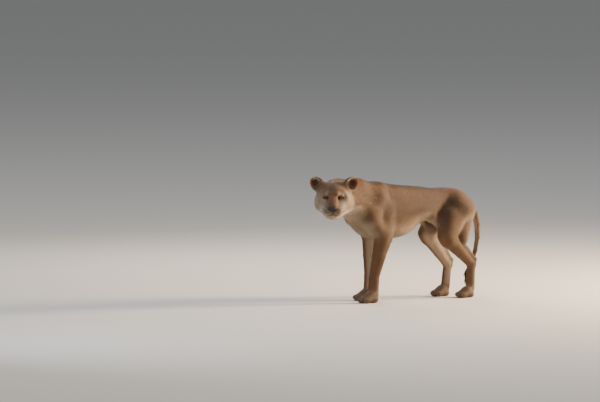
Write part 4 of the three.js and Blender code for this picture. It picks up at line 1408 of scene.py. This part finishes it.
# A tapered tube along points, closed at both ends
def taperedTube(line, radii, sides):
    line = np.asarray(line, float)
    step = unit(np.gradient(line, axis=0))
    across = unit(np.cross(step, (0.13, 0.21, 0.97)))
    up = np.cross(across, step)
    turns = np.linspace(0, 2 * math.pi, sides, endpoint=False)
    rings = [p + r * (np.cos(turns)[:, None] * a + np.sin(turns)[:, None] * u)
             for p, r, a, u in zip(line[:-1], radii, across, up)]
    points = np.concatenate(rings + [line[-1:]])
    faces = [list(range(sides))[::-1]]
    for i in range(len(line) - 2):
        for j in range(sides):
            k = (j + 1) % sides
            faces.append([i * sides + j, i * sides + k, (i + 1) * sides + k, (i + 1) * sides + j])
    tip, last = len(points) - 1, (len(line) - 2) * sides
    faces += [[last + j, last + (j + 1) % sides, tip] for j in range(sides)]
    return points, faces


def joined(name, tubes):
    points, faces, first = [], [], 0
    for tubePoints, tubeFaces in tubes:
        points.append(tubePoints)
        faces += [[first + i for i in face] for face in tubeFaces]
        first += len(tubePoints)
    piece = meshOf(name, toFrame(np.concatenate(points)), faces)
    faceOutwards(piece.data)
    return piece


def makeClaws():
    tubes = []
    t = np.linspace(0, 1, clawSizes["rings"])
    back, _, high = clawSizes["root"]
    bend = np.stack([back - clawSizes["length"] * t, 0 * t, high - clawSizes["drop"] * t ** 2], 1)
    for stance in stances.values():
        x, y, size = footOf(stance)
        for i in footSizes["toes"]:
            ahead = x - clawSizes["ahead"] * size + footSizes["toeCurve"] * i * i
            line = np.array((ahead, y + i * footSizes["toeSpread"] * size, clawSizes["height"])) + bend
            tubes.append(taperedTube(line, clawSizes["radius"] * (1 - t ** 1.5), clawSizes["sides"]))
    return joined("claws", tubes)


def makeWhiskers():
    random = np.random.default_rng(whiskerSizes["seed"])
    tubes = []
    t = np.linspace(0, 1, whiskerSizes["rings"])[:, None]
    radii = whiskerSizes["rootRadius"] * (1 - whiskerSizes["thinsBy"] * t[:, 0])
    for root, way in zip(whiskerSpots, unit(slopeAt(whiskerSpots, flesh))):
        side = 1.0 if inHead(root[None])[0, 1] > 0 else -1.0
        length = random.uniform(*whiskerSizes["length"])
        up = random.uniform(*whiskerSizes["upOrDown"])
        sweep = np.array((whiskerSizes["backward"], side * whiskerSizes["sideways"], up)) @ headAxes
        start = unit(way * whiskerSizes["startOut"] + sweep)
        end = unit(sweep * whiskerSizes["endBack"] + np.array(whiskerSizes["droop"]))
        bow = start * t * (1 - t / 2) + end * t * t / 2
        line = root - whiskerSizes["rootDepth"] * start + length * bow
        tubes.append(taperedTube(line, radii, whiskerSizes["sides"]))
    return joined("whiskers", tubes)


# Claw horn is smooth and dark brown; a whisker is a stiff pale hair with a thin hard shine
def plainMaterial(name, low, high, roughness, scale):
    material, tree, surface = newMaterial(name, {"Roughness": roughness})
    place = addNode(tree, "ShaderNodeTexCoord").outputs["Object"]
    noise = addNode(tree, "ShaderNodeTexNoise", None, {"Vector": place, "Scale": scale, "Detail": 2.0})
    colour = addNode(tree, *mixColours, {0: noise.outputs["Fac"], 6: srgb(low), 7: srgb(high)})
    tree.links.new(colour.outputs[2], surface.inputs["Base Color"])
    return material


claws, whiskers = makeClaws(), makeWhiskers()
claws.data.materials.append(plainMaterial("claw horn", "#2b211b", "#6b5a49", 0.35, 160.0))
whiskers.data.materials.append(plainMaterial("whisker hair", "#d8cdbb", "#f2ece0", 0.4, 60.0))
report("claws and whiskers")

# One pale floor, so wide that its far edge lies past the view from any side but a very low one
floorSizes = {"half": 110.0, "colour": "#e6e3dc", "roughness": 0.9}


# Matt studio paper: pale, even and without shine, so that only her shadow shows on it
def makeFloor():
    half = floorSizes["half"]
    corners = [(-half, -half, 0), (half, -half, 0), (half, half, 0), (-half, half, 0)]
    floor = meshOf("studio_floor", corners, [[0, 1, 2, 3]])
    finish = {"Base Color": srgb(floorSizes["colour"]), "Roughness": floorSizes["roughness"]}
    floor.data.materials.append(newMaterial("matt studio paper", finish)[0])
    return floor


def makeCamera():
    look = -wayOut(cameraSizes["azimuth"], cameraSizes["elevation"])
    right = look.cross(Vector((0, 0, 1))).normalized()
    up = right.cross(look)
    aim = Vector(toFrame(withers)) - right * cameraSizes["aimLeft"] - up * cameraSizes["aimDown"]
    data = bpy.data.cameras.new("camera")
    data.lens, data.sensor_width = cameraSizes["lens"], cameraSizes["sensor"]
    data.clip_end = cameraSizes["clipEnd"]
    camera = bpy.data.objects.new("camera", data)
    camera.location = aim - look * cameraSizes["distance"]
    camera.rotation_euler = look.to_track_quat("-Z", "Y").to_euler()
    bpy.context.collection.objects.link(camera)
    bpy.context.scene.camera = camera


# A warm low key from her rear left, a cool fill from her front left, a high light from her right and a wide
# soft box overhead: azimuth, elevation, distance, size, watts and colour
lightSizes = {
    "key": (70, 17, 5.5, 1.4, 960, "#ffdfba"),
    "fill": (-70, 22, 5.0, 3.0, 62, "#d3deef"),
    "back": (165, 38, 5.5, 2.5, 130, "#fff1de"),
    "top": (0, 85, 20.0, 30.0, 2400, "#f4f6fa"),
}
lightMiddle = (0, 0, 0.55)
roomLight = {"Color": srgb("#dfe4ea"), "Strength": 0.28}


def makeLights():
    for name, (azimuth, elevation, distance, size, watts, code) in lightSizes.items():
        way = wayOut(azimuth, elevation)
        data = bpy.data.lights.new(name, "AREA")
        data.shape, data.size, data.energy, data.color = "DISK", size, watts, srgb(code)[:3]
        lamp = bpy.data.objects.new(name, data)
        lamp.location = Vector(lightMiddle) + way * distance
        lamp.rotation_euler = (-way).to_track_quat("-Z", "Y").to_euler()
        bpy.context.collection.objects.link(lamp)
    world = bpy.data.worlds.new("studio")
    world.use_nodes = True
    for key, value in roomLight.items():
        world.node_tree.nodes["Background"].inputs[key].default_value = value
    bpy.context.scene.world = world


makeFloor()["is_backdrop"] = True
makeCamera()
makeLights()

fleshNodes = [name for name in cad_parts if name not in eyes]
for piece in [skin, claws, whiskers, *coat.values(), *eyes.values()]:
    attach(piece, "root")
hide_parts(*fleshNodes)
for name, eye in eyes.items():
    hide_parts(name)
report("pieces ride and take their slots")
